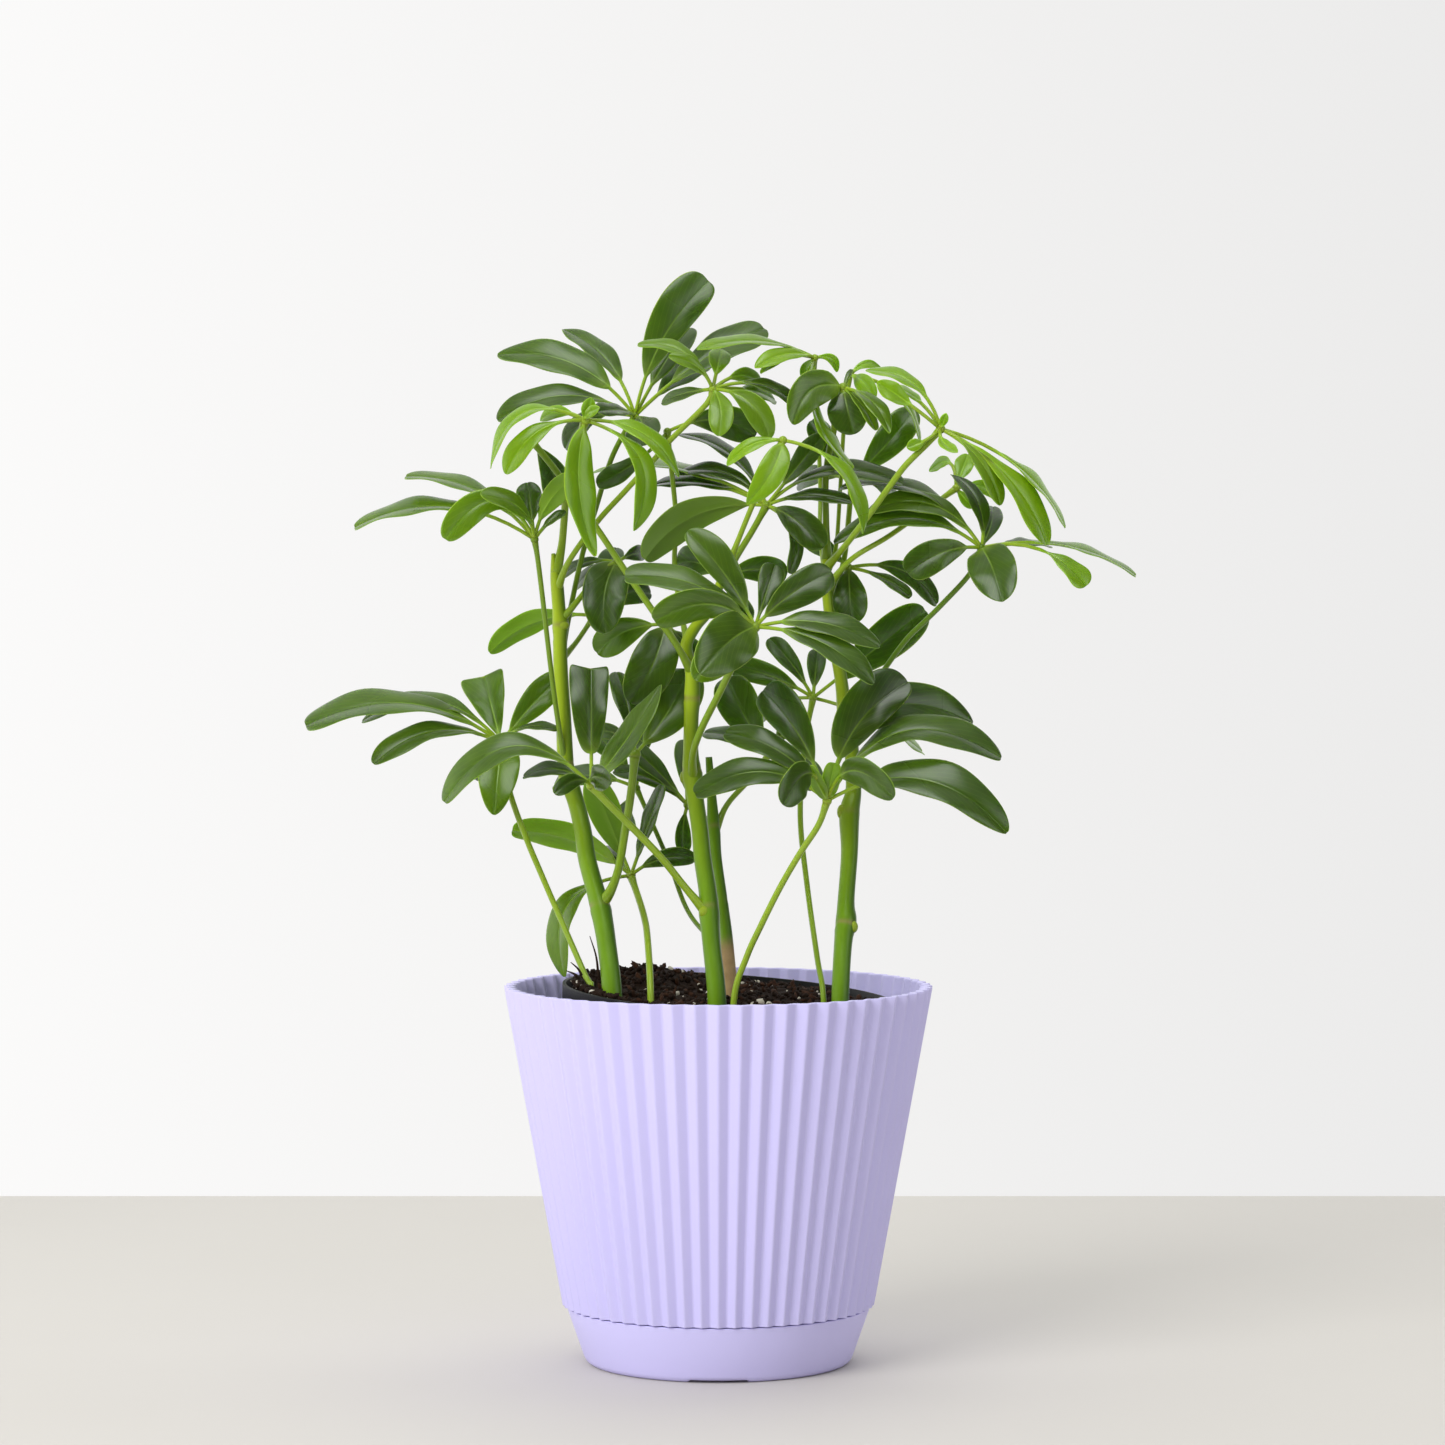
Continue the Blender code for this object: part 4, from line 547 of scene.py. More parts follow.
class Pile:
    """Closed lofts gathered for one piece, with the values that their points carry."""

    def __init__(self, name):
        self.name = name
        self.points = []
        self.faces = []
        self.values = {}
        self.count = 0

    def add(self, points, faces, values):
        """Points, faces that index them, and for each value's name one number or vector a point."""
        corners = np.concatenate([f[:, [0, k, k + 1]] for f in faces for k in range(1, f.shape[1] - 1)])
        a, b, c = (points[corners[:, k]] for k in range(3))
        outward = np.einsum("ij,ij->", a - points[0], np.cross(b - points[0], c - points[0])) > 0
        for f in faces:
            self.faces += ((f if outward else f[:, ::-1]) + self.count).tolist()
        self.points.append(points)
        for key, value in values.items():
            self.values.setdefault(key, []).append(value)
        self.count += len(points)

    def loft(self, rings, values):
        """Closed rings joined one to the next, each end closed on its ring's middle point."""
        rows, sides = rings.shape[:2]
        middles = rings[[0, -1]].mean(axis=1)
        start = np.arange(rows - 1)[:, None] * sides
        j = np.arange(sides)
        k = (j + 1) % sides
        quads = np.stack([start + j, start + k, start + k + sides, start + j + sides], -1).reshape(-1, 4)
        last = (rows - 1) * sides
        first_fan = np.stack([np.full(sides, rows * sides), k, j], -1)
        last_fan = np.stack([np.full(sides, rows * sides + 1), last + j, last + k], -1)
        full = {}
        for key, value in values.items():
            shape = (rows, sides, 3) if key in ("place", "tone") else (rows, sides)
            value = np.broadcast_to(value, shape)
            flat = value.reshape((rows * sides, *shape[2:]))
            full[key] = np.concatenate([flat, value[[0, -1]].mean(axis=1)])
        fans = np.concatenate([first_fan, last_fan])
        self.add(np.concatenate([rings.reshape(-1, 3), middles]), [quads, fans], full)

    def make(self, finish, replaced=()):
        """The piece's object, riding on the part's one body."""
        mesh = bpy.data.meshes.new(self.name)
        mesh.from_pydata((np.concatenate(self.points) * MM).tolist(), [], self.faces)
        mesh.shade_smooth()
        for key, value in self.values.items():
            data = np.concatenate(value).astype(np.float32)
            kind, field = ("FLOAT_VECTOR", "vector") if data.ndim == 2 else ("FLOAT", "value")
            mesh.attributes.new(key, kind, "POINT").data.foreach_set(field, data.ravel())
        mesh.materials.append(finish)
        obj = put(self.name, mesh)
        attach(obj, "root")
        for node in replaced:
            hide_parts(node)


class Value:
    """A shader socket. Arithmetic on it adds Math nodes to its tree."""

    def __init__(self, tree, socket):
        self.tree = tree
        self.socket = socket

    def math(self, operation, *terms):
        return self.tree.node("ShaderNodeMath", {"operation": operation}, dict(enumerate(terms)))

    def __add__(self, other):
        return self.math("ADD", self, other)

    def __radd__(self, other):
        return self.math("ADD", other, self)

    def __sub__(self, other):
        return self.math("SUBTRACT", self, other)

    def __rsub__(self, other):
        return self.math("SUBTRACT", other, self)

    def __mul__(self, other):
        return self.math("MULTIPLY", self, other)

    def __rmul__(self, other):
        return self.math("MULTIPLY", other, self)

    def __abs__(self):
        return self.math("ABSOLUTE", self)

    def fraction(self):
        return self.math("FRACT", self)

    def step(self, low, high):
        """0 below low and 1 above high, eased between them, or the reverse where high is the lower."""
        settings = {"interpolation_type": "SMOOTHSTEP"}
        if low > high:
            return 1 - self.step(high, low)
        inputs = {"Value": self, "From Min": low, "From Max": high}
        return self.tree.node("ShaderNodeMapRange", settings, inputs)


class Tree:
    """A node tree that is written as expressions."""

    def __init__(self, owner):
        owner.use_nodes = True
        self.owner = owner
        self.nodes = owner.node_tree.nodes
        self.links = owner.node_tree.links
        self.nodes.clear()

    def node(self, kind, settings, inputs, output=0):
        """Add a node, give it its settings, then its sockets' values or links, and return one output."""
        made = self.nodes.new(kind)
        for key, value in settings.items():
            setattr(made, key, value)
        for key, value in inputs.items():
            if isinstance(value, Value):
                self.links.new(value.socket, made.inputs[key])
            elif isinstance(value, tuple) and len(made.inputs[key].default_value) == 4:
                made.inputs[key].default_value = (*value, 1)
            else:
                made.inputs[key].default_value = value
        return Value(self, made.outputs[output]) if made.outputs else None

    def mix(self, share, first, second):
        """Colour that goes from the first to the second."""
        return self.node("ShaderNodeMix", {"data_type": "RGBA"}, {0: share, 6: first, 7: second}, 2)

    def tinted(self, colour, factor):
        """Colour times a factor."""
        grey = self.node("ShaderNodeCombineXYZ", {}, {0: factor, 1: factor, 2: factor})
        return self.node("ShaderNodeVectorMath", {"operation": "MULTIPLY"}, {0: colour, 1: grey})

    def dot(self, vector, direction):
        """How far a vector goes in a direction."""
        settings = {"operation": "DOT_PRODUCT"}
        return self.node("ShaderNodeVectorMath", settings, {0: vector, 1: direction}, "Value")

    def noise(self, scale, detail=2.0, roughness=0.5, stretch=None):
        """Noise from 0 to 1 over the piece's own space, drawn out where stretch shrinks an axis."""
        where = self.node("ShaderNodeTexCoord", {}, {}, "Object")
        if stretch:
            where = self.node("ShaderNodeVectorMath", {"operation": "MULTIPLY"}, {0: where, 1: stretch})
        inputs = {"Vector": where, "Scale": scale, "Detail": detail, "Roughness": roughness}
        return self.node("ShaderNodeTexNoise", {}, inputs)

    def attribute(self, name, output="Fac"):
        return self.node("ShaderNodeAttribute", {"attribute_name": name}, {}, output)

    def three(self, name):
        """The three numbers of a vector attribute."""
        vector = self.attribute(name, "Vector")
        split = self.nodes.new("ShaderNodeSeparateXYZ")
        self.links.new(vector.socket, split.inputs[0])
        return [Value(self, socket) for socket in split.outputs]

    def bump(self, height, strength, distance):
        return self.node("ShaderNodeBump", {}, {"Height": height, "Strength": strength, "Distance": distance})

    def surface(self, **inputs):
        """Close the tree with a Principled shader. Underscores in the names stand for spaces."""
        named = {key.replace("_", " "): value for key, value in inputs.items()}
        shader = self.node("ShaderNodeBsdfPrincipled", {}, named)
        self.node("ShaderNodeOutputMaterial", {}, {"Surface": shader})
        return self.owner


def new_finish(name):
    """The tree of a new material."""
    return Tree(bpy.data.materials.new(name))


def leaf_finish():
    """Waxy leaf: green above and paler below, with a light midrib, faint side veins, a thin pale margin and
    yellow-green stalks, and each leaflet's painted sheen and painted shade. Side veins are stripes of the
    share along, less VEIN_LEAN times the distance out."""
    t = new_finish("leaf")
    along, rib, edge = t.three("place")
    young, under, stalk = t.three("tone")
    mood = t.attribute("mood")
    cloud = t.noise(60, 3)
    patch = t.noise(16, 1)
    top = t.mix(young, t.mix(cloud, *MATURE_TOP), t.mix(cloud, *YOUNG_TOP))
    below = t.mix(young, MATURE_BELOW, YOUNG_BELOW)
    blade = t.mix(under, top, below)
    wave = (along * SIDE_VEINS - abs(rib) * VEIN_LEAN).fraction()
    vein = abs(wave - 0.5).step(0.10, 0.02) * edge.step(0.2, 2.0) * along.step(0.02, 0.15)
    light = t.mix(young, MATURE_RIB, YOUNG_RIB)
    blade = t.mix(vein * 0.10, blade, light)
    midrib = abs(rib).step(0.42, 0.14) * along.step(0.85, 0.2)
    blade = t.mix(midrib * (0.62 + 0.2 * young), blade, light)
    blade = t.mix(edge.step(0.36, 0.10) * 0.6, blade, light)
    blade = t.mix(along.step(0.22, 0.0) * 0.5, blade, light)
    # Each leaflet's painted sheen lightens its blade and its painted shade darkens it, along with a small
    # chance tone
    blade = t.tinted(blade, 0.80 + 0.40 * patch + mood)
    twig = t.mix(young, GREEN_STALK, t.mix(t.noise(120, 2), *YELLOW_STALK))
    colour = t.mix(stalk, blade, twig)
    shine = 0.19 + 0.16 * patch + 0.16 * under + 0.08 * stalk
    return t.surface(Base_Color=colour, Roughness=shine, Specular_IOR_Level=0.5, Subsurface_Weight=0.45,
                     Subsurface_Radius=(0.7, 1.0, 0.15), Subsurface_Scale=0.0018)


def stem_finish():
    """Green bark, yellower to the top, painted lit on its left side and painted shade on its right, with fine
    length-wise streaks, and scars and corky brown where the values say so."""
    t = new_finish("stem")
    height, scar, cork = t.three("tone")
    shade = t.attribute("shade")
    streak = t.noise(700, 3, 0.6, (1, 1, 0.06))
    cloud = t.noise(90, 3)
    # Painted shade: the shade value gives the stem's left side the painted lit green and its right side the
    # painted shade green
    green = t.mix(shade.step(0.35, 1.0), t.mix(height, *PAINTED_LIT_STEM), t.mix(height, *PAINTED_SHADE_STEM))
    colour = t.mix(cork, green, t.mix(t.noise(240, 4), *BARK))
    colour = t.mix(scar, colour, SCAR)
    colour = t.tinted(colour, 0.80 + 0.22 * streak + 0.2 * cloud)
    bump = t.bump(streak * 0.6 + t.noise(1500, 2) * 0.2, 0.3, 0.0002)
    return t.surface(Base_Color=colour, Roughness=0.30 + 0.14 * cloud + 0.3 * cork, Normal=bump,
                     Specular_IOR_Level=0.35, Subsurface_Weight=0.1, Subsurface_Radius=(0.6, 1.0, 0.2),
                     Subsurface_Scale=0.001)


def plastic_finish(name, colour, roughness, grain, sheen=0.5):
    """Moulded plastic with a faint grain, and streaks a touch lighter where the melt flowed upwards."""
    t = new_finish(name)
    flow = t.noise(28, 3, 0.55, (1, 1, 0.25))
    speck = t.noise(2600, 2)
    shade = t.tinted(colour, 0.965 + 0.05 * flow + 0.02 * speck)
    bump = t.bump(speck + t.noise(700, 2) * 0.6, grain, 0.0002)
    rough = roughness + 0.08 * flow
    return t.surface(Base_Color=shade, Roughness=rough, Normal=bump, Specular_IOR_Level=sheen)


def soil_finish():
    """Damp peat: dark brown, rusty where the grain value is middling, and nearly white where it is high."""
    t = new_finish("soil")
    grain = t.attribute("grain")
    cloud = t.noise(130, 4, 0.65)
    dark = t.mix(cloud, *DARK_SOIL)
    rusty = t.mix(t.noise(420, 3), *RUSTY_SOIL)
    white = t.mix(t.noise(900, 3), *WHITE_GRAINS)
    colour = t.mix(grain.step(0.75, 0.85), t.mix(grain.step(0.2, 0.6), dark, rusty), white)
    bump = t.bump(t.noise(600, 4, 0.7), 0.8, 0.0006)
    return t.surface(Base_Color=colour, Roughness=0.72 + 0.25 * cloud, Normal=bump, Specular_IOR_Level=0.25)


def table_finish():
    """Plain pale matt table."""
    t = new_finish("pale_table")
    return t.surface(Base_Color=t.mix(t.noise(3, 4), *TABLE), Roughness=0.75)


def stem_line(name, step=1.6):
    """Centre line of a stem, with its radius as a fourth number, from inside the soil to its top."""
    rows = [np.array([*spot(x, z, y), d / 2]) for x, z, y, d in STEMS[name]]
    foot = rows[0].copy()
    foot[2] = STEM_ROOT_Z
    return smooth_way([foot, *rows], step)


def stem_centre(name, z):
    """The stem's centre at a height, by straight interpolation along its line."""
    line = stem_line(name)
    return np.array([np.interp(z, line[:, 2], line[:, k]) for k in range(3)])


def leaf_stalk_line(leaf, step=2.0):
    """Centre line of a leaf stalk, from its stem's centre or from inside the soil up to the hub."""
    way = [spot(*p) for p in leaf["way"]] + [spot(*leaf["hub"])]
    if leaf["stem"]:
        foot = stem_centre(leaf["stem"], leaf["at"] - SURVEY_FLOOR)
    else:
        foot = way[0] * np.array([1, 1, 0]) + np.array([0, 0, STEM_ROOT_Z])
    return smooth_way([foot, *way], step)


def blade_frame(root, tip, shown):
    """Width of the leaflet, the direction of its side, the rise direction and the hidden bow.

    The blade is turned about its chord until it shows the given width to the front: the sine of the turn
    is the shown width over the true one, and the upper face leans up."""
    length = np.linalg.norm(tip - root)
    along = unit(tip - root)
    width = max(abs(shown), WIDTH_RATIO * length)
    to_eye = unit(SIGHT - (root + tip) / 2)
    front = unit(to_eye - (to_eye @ along) * along)
    rise = unit(np.cross(along, front))
    if rise[2] < 0:
        rise = -rise
    turn = math.asin(shown / width)
    normal = math.cos(turn) * rise + math.sin(turn) * front
    bow = BOW * length * math.sin(turn) * front
    return width, unit(np.cross(along, normal)), rise, bow


def leaflet(pile, root, tip, shown, arch, bare, young, mood, shape, rng):
    """One leaflet as a closed loft: a round stalk that flattens into a thin blade.

    The midrib is the quadratic curve root, knee, tip. Across it, the blade is a share s along: half width
    s^a (1 - s)^b over its greatest value, height a fold that rises with |v| and levels off, a groove above
    and a rib below the midrib, and a thickness (1 - v^2)^p that rounds the margins off. The shape gives a, b,
    the share k that one side is wider and the other narrower than half, how deep the tip is notched, and the
    angle by which the tip is turned to the front."""
    width, side0, rise, bow = blade_frame(root, tip, shown)
    knee = (root + tip) / 2 + 2 * (arch * rise + bow)
    length = np.linalg.norm(tip - root)
    blade_rings = BLADE_RINGS[length >= SMALL_LEAFLET]
    blade = 0.5 - 0.5 * np.cos(np.linspace(0, math.pi, blade_rings))
    s = np.concatenate([np.linspace(-1, 0, 5)[:-1], blade])
    t = np.where(s < 0, bare * (1 + s), bare + (1 - bare) * s)[:, None]
    centre = (1 - t) ** 2 * root + 2 * t * (1 - t) * knee + t**2 * tip
    along = unit((1 - t) * (knee - root) + t * (tip - knee))
    side = unit(side0 - (along @ side0)[:, None] * along)
    up = np.cross(side, along)
    chance = rng.uniform(-1, 1, 3)
    plain = (0.78 + 0.1 * young + 0.06 * chance[0], 0.40 + 0.24 * young + 0.04 * chance[1])
    rise_power, fall_power, uneven, notch, turned = (*(shape or plain), 0, 0, 0)[:5]
    twist = CHANCE_TWIST * chance[2] * abs(shown) / width + turned * np.sign(side0[1])
    twist = (twist * ease(0, 1, s))[:, None]
    side, up = np.cos(twist) * side + np.sin(twist) * up, np.cos(twist) * up - np.sin(twist) * side
    share = np.clip(s, 0, 1)[:, None]
    v = np.concatenate([ACROSS, ACROSS[-2:0:-1]])
    face = np.concatenate([[0], np.ones(len(ACROSS) - 2), [0], -np.ones(len(ACROSS) - 2)])
    flat = ease(0, FLATTENS, s)[:, None]
    outline = share**rise_power * (1 - 0.997 * share) ** fall_power
    outline = outline / outline.max() * (1 + uneven * np.sign(v))
    half = np.hypot(STALK_HALF * (1 - 0.9 * share), width / 2 * outline)
    reach = half * v
    thick = STALK_HALF * (1 - flat) + BLADE_HALF_THICKNESS * flat
    body = thick * (1 - v**2) ** (0.5 - 0.3 * flat) * face
    fold = flat * half * (FOLD[0] * np.abs(v) - FOLD[1] * v**2)
    groove = -GROOVE[0] * np.exp(-(reach / GROOVE[1]) ** 2) * (face > 0)
    rib = -RIB[0] * (1 - share) * np.exp(-(reach / RIB[1]) ** 2) * (face < 0)
    phase = rng.uniform(0, 2 * math.pi, 2)
    ripple = np.where(v > 0, phase[0], phase[1]) + s[:, None] * 2 * math.pi * MARGIN_WAVES
    wave = MARGIN_WAVE * width * v**2 * np.sin(ripple)
    height = body + fold + flat * (groove + rib + wave)
    ahead = -notch * width * (1 - v**2) * share**6
    rings = centre[:, None] + reach[..., None] * side[:, None] + height[..., None] * up[:, None]
    rings = rings + ahead[..., None] * along[:, None]
    place = np.stack(np.broadcast_arrays(s[:, None], reach, half * (1 - np.abs(v))), -1)
    bare_part = (1 - ease(-0.05, 0.06, s))[:, None]
    ripe = young + (0.9 - young) * bare_part
    tone = np.stack(np.broadcast_arrays(ripe, (face < 0) * 1.0, bare_part), -1)
    pile.loft(rings, {"place": place, "tone": tone, "mood": mood})


def stalk(pile, line, thick, ripe):
    """Round leaf stalk, wider at its foot, with a swollen joint under the hub."""
    run = run_length(line)
    foot = STALK_FOOT[0] * np.exp(-(run / STALK_FOOT[1]) ** 2)
    head = STALK_HEAD[0] * np.exp(-((run[-1] - run) / STALK_HEAD[1]) ** 2)
    radii = thick / 2 * (1 + foot + head)
    level = np.zeros(STALK_SIDES)
    place = np.stack(np.broadcast_arrays((run / run[-1])[:, None], level, level + NO_MARGIN), -1)
    tone = np.array([ripe, 0.0, 1.0])
    pile.loft(round_rings(line, radii, STALK_SIDES), {"place": place, "tone": tone, "mood": 0.0})


def ball(pile, middle, radii, values, rows=9, sides=14):
    """Ellipsoid of latitude rings round its middle."""
    top = math.pi / 2 - BALL_CAP
    lat = np.linspace(-top, top, rows)
    turn = turns(sides)
    ring = np.stack(np.broadcast_arrays(
        np.cos(lat)[:, None] * np.cos(turn), np.cos(lat)[:, None] * np.sin(turn), np.sin(lat)[:, None]), -1)
    pile.loft(middle + ring * radii, values)


def compound_leaf(name, leaf, finish):
    """Leaf stalk, hub and leaflets in one piece that stands for its node."""
    rng = np.random.default_rng(sum(map(ord, name)))
    pile = Pile(name + "_fine")
    young = leaf.get("young", 0)
    line = leaf_stalk_line(leaf)
    ripe = STALK_TONES.get(name, 0.55 + 0.3 * young)
    stalk(pile, line, leaf["thick"], ripe)
    hub = line[-1]
    joint = {"place": np.array([0.0, 0.0, NO_MARGIN]), "tone": np.array([ripe, 0.0, 1.0]), "mood": 0.0}
    ball(pile, hub, 0.55 * leaf["thick"] + 0.5, joint)
    leaflet_painted_light, shapes = PAINTED_LIGHT_AND_YOUTH.get(name, {}), SHAPES.get(name, {})
    for k, (x, z, depth, shown, arch, bare) in enumerate(leaf["leaflets"]):
        # The leaflet's painted sheen or painted shade from the table, with a small chance tone added
        mood, fresh = leaflet_painted_light.get(k, (0.0, 0.0))
        mood = mood + rng.uniform(-0.08, 0.08)
        tip = spot(x, z, leaf["hub"][2] + depth)
        leaflet(pile, hub, tip, shown, arch, bare, np.clip(young + fresh, 0, 1), mood, shapes.get(k), rng)
    pile.make(finish, [name])


def stem(name, finish):
    """A stem in one piece that stands for its node: circles along its line, a little out of round by two
    sines. Each scar is a bell-shaped groove round it, with a wider swelling just below."""
    line = stem_line(name)
    centre, radius = line[:, :3], line[:, 3]
    turn = turns(STEM_SIDES)
    z = centre[:, 2:3]
    radii = radius[:, None] * (1 + 0.015 * np.sin(3 * turn + z / 9) + 0.01 * np.sin(5 * turn - z / 6))
    scar = np.zeros_like(radii)
    (swell, below, swell_half), (mark, mark_half) = SCAR_SWELLING, SCAR_MARK
    for level, depth, lean in SCARS[name]:
        off = z + lean * np.sin(turn) - level + SURVEY_FLOOR
        radii = radii * (1 - depth * np.exp(-(off / SCAR_GROOVE) ** 2))
        radii = radii * (1 + swell * depth * np.exp(-((off + below) / swell_half) ** 2))
        scar = np.maximum(scar, mark * np.exp(-(off / mark_half) ** 2))
    behind = name == "stem_behind"
    up = ease(*YELLOWING, z) - BEHIND_STEM_GREENER * behind
    cork = behind * (1 - ease(*CORKY, z))
    tone = np.stack(np.broadcast_arrays(np.clip(up, 0, 1), scar, cork), -1)
    # Painted shade round the stem: 0 at its left side, 1 at its right side
    shade = np.broadcast_to(0.5 - 0.5 * np.cos(turn), radii.shape)
    pile = Pile(name + "_fine")
    pile.loft(round_rings(centre, radii, STEM_SIDES), {"tone": tone, "shade": shade})
    for level, angle, out, size in BUDS.get(name, []):
        middle = stem_centre(name, level - SURVEY_FLOOR)
        reach = np.interp(middle[2], centre[:, 2], radius) + out
        middle = middle + reach * np.array([math.cos(angle), math.sin(angle), 0])
        # Buds get a middling painted shade of 0.3
        ball(pile, middle, np.array(size), {"tone": np.array([0.7, 0.15, 0.0]), "shade": 0.3})
    pile.make(finish, [name])


def polar_rings(profile, columns, wave=None):
    """Rings round the Z axis from rows of (radius, z, share of the wave added to the radius)."""
    turn = turns(columns)
    rows = np.array(profile)
    ripple = np.zeros(columns) if wave is None else wave(turn)
    reach = rows[:, :1] + rows[:, 2:3] * ripple
    level = np.broadcast_to(rows[:, 1:2], reach.shape)
    return np.stack([reach * np.cos(turn), reach * np.sin(turn), level], -1)


def rounded(a, corner, b, size, steps=4):
    """Points of a quadratic arc that cuts a corner of a profile, from size before it to size after it."""
    a, corner, b = (np.array(p, float) for p in (a, corner, b))
    start = corner + (a - corner) * min(1, size / np.linalg.norm((a - corner)[:2]))
    end = corner + (b - corner) * min(1, size / np.linalg.norm((b - corner)[:2]))
    t = np.linspace(0, 1, steps)[:, None]
    return ((1 - t) ** 2 * start + 2 * t * (1 - t) * corner + t**2 * end).tolist()


def rounded_profile(corners):
    """A profile whose inner corners are cut by arcs. Each corner is (radius, z, wave share, arc size)."""
    out = [corners[0][:3]]
    for a, corner, b in zip(corners, corners[1:], corners[2:]):
        out += rounded(a[:3], corner[:3], b[:3], corner[3])
    return out + [corners[-1][:3]]


def pleat_wave(turn):
    """One crest to a pleat: the arc sine of a cosine times PLEAT_CREASE, a zigzag with rounded creases."""
    return PLEAT_DEPTH * np.arcsin(PLEAT_CREASE * np.cos(PLEATS * turn)) / math.asin(PLEAT_CREASE)


def pleated_pot(finish):
    """Pleated wall with a rounded rim, over a smooth foot that sits in the saucer."""
    taper = (RIM_RADIUS - SEAM_RADIUS) / (RIM_Z - SEAM_Z)
    inner_z = SEAM_Z + WALL
    corners = [
        (0.5, FOOT_Z, 0, 0), (FOOT_RADIUS, FOOT_Z, 0, 1.0), (FOOT_TOP_RADIUS, SEAM_Z, 0, 0.2),
        (SEAM_RADIUS, SEAM_Z, 1, 0.25), (RIM_RADIUS, RIM_Z, 1, 0.45), (RIM_RADIUS - WALL, RIM_Z, 1, 0.6),
        (SEAM_RADIUS + taper * WALL - WALL, inner_z, 1, 0.5), (FOOT_TOP_RADIUS - WALL, inner_z, 0, 0.5),
        (FOOT_RADIUS - WALL, POT_FLOOR_Z, 0, 1.0), (0.5, POT_FLOOR_Z, 0, 0)]
    pile = Pile("pot_fine")
    pile.loft(polar_rings(rounded_profile(corners), PLEATS * POT_RINGS_PER_PLEAT, pleat_wave), {})
    pile.make(finish, ["pot"])


def saucer(finish):
    """Turned cup whose wall rounds into the ring it stands on. Notches cut the ring up to NOTCH_TOP_Z."""
    top_inner = SAUCER_TOP_RADIUS - SAUCER_WALL
    corners = [
        (0.5, 0, 0, 0), (STAND_PAD_RADIUS, 0, 0, 0.4), (STAND_PAD_RADIUS, STAND_Z, 0, 0.4),
        (STAND_INNER_RADIUS, STAND_Z, 0, 0.4), (STAND_INNER_RADIUS, 0, 1, 0.3),
        (SAUCER_BOTTOM_RADIUS - 0.7, 0, 1, 2.4), (SAUCER_TOP_RADIUS, SAUCER_TOP_Z, 0, 0.35),
        (top_inner, SAUCER_TOP_Z, 0, 0.5), (SAUCER_BOTTOM_RADIUS - 1.2, SAUCER_FLOOR_Z, 0, 1.5),
        (0.5, SAUCER_FLOOR_Z, 0, 0)]
    profile = np.array(rounded_profile(corners))
    rings = polar_rings(np.column_stack([profile[:, :2], np.zeros(len(profile))]), SAUCER_SIDES)
    turn = turns(SAUCER_SIDES)
    half = NOTCH_WIDTH / 2 / STAND_OUTER_RADIUS
    away = np.abs((turn + math.pi / 2 + math.pi / NOTCHES) % (2 * math.pi / NOTCHES) - math.pi / NOTCHES)
    lift = 1 - ease(half - 0.012, half + 0.012, away)
    rings[:, :, 2] = np.maximum(rings[:, :, 2], NOTCH_TOP_Z * lift * profile[:, 2:3])
    pile = Pile("saucer_fine")
    pile.loft(rings, {})
    pile.make(finish, ["saucer"])


def leaned(points):
    """Points of the nursery pot's own frame, tipped to the front, then to the right, in the pleated pot."""
    x, y, z = points[..., 0], points[..., 1], points[..., 2]
    c, s = math.cos(NURSERY_NOD), math.sin(NURSERY_NOD)
    y, z = c * y - s * z, s * y + c * z
    c, s = math.cos(NURSERY_LEAN), math.sin(NURSERY_LEAN)
    return np.stack([c * x + s * z + NURSERY_SHIFT, y, c * z - s * x + NURSERY_BOTTOM_Z], -1)


def nursery_pot(finish):
    """Thin turned pot with a turned-out lip and a soft rounded edge."""
    wall, lip = NURSERY_WALL, NURSERY_LIP
    height = NURSERY_TOP_Z - NURSERY_BOTTOM_Z
    corners = [
        (0.5, 0, 0, 0), (NURSERY_BASE_RADIUS, 0, 0, 1.5), (NURSERY_RADIUS, height - lip, 0, 0.4),
        (NURSERY_RIM_RADIUS - 0.3, height - lip + wall, 0, 0.5), (NURSERY_RIM_RADIUS, height, 0, 0.4),
        (NURSERY_RIM_RADIUS - wall, height, 0, 0.4), (NURSERY_RADIUS - wall, height - lip, 0, 1.0),
        (NURSERY_BASE_RADIUS - wall, wall, 0, 1.5), (0.5, wall, 0, 0)]
    pile = Pile("nursery_pot_fine")
    pile.loft(leaned(polar_rings(rounded_profile(corners), NURSERY_SIDES)), {})
    pile.make(finish, ["nursery_pot"])


def soil_rise(x, y):
    """Height of the soil's lumps: three crossed waves, a mound at the back left and a fall to the front."""
    waves = np.sin(x / 6.1 + 0.7) * np.cos(y / 7.3)
    waves = waves + 0.6 * np.sin(x / 3.3 - y / 4.1) + 0.5 * np.cos(y / 2.9 + x / 9.0)
    mound_x, mound_y, spread, rise = SOIL_MOUND
    mound = rise * np.exp(-((x - mound_x) ** 2 + (y - mound_y) ** 2) / spread**2)
    return SOIL_RELIEF * waves / 2.1 + mound - 0.06 * np.maximum(0, 10 - y)


def soil_top_radius():
    """Radius of the soil where it meets the nursery pot's wall."""
    return NURSERY_RADIUS - NURSERY_WALL - SOIL_GAP


def soil_height(x, y):
    """Height of the soil over the nursery pot's base: a flat top that rounds down to its edge, the lumps,
    and finer crumbs as three layers of lattice noise."""
    edge = np.clip((1 - np.hypot(x, y) / soil_top_radius()) / SOIL_ROUNDED, 0, 1)
    z = SOIL_Z - SOIL_EDGE * (1 - edge) + edge * soil_rise(x, y) - NURSERY_BOTTOM_Z
    rng = np.random.default_rng(11)
    for cell, size in SOIL_CRUMBS:
        z = z + size * lattice_noise(x, y, cell, rng) * np.clip(edge * 4, 0.2, 1)
    return z


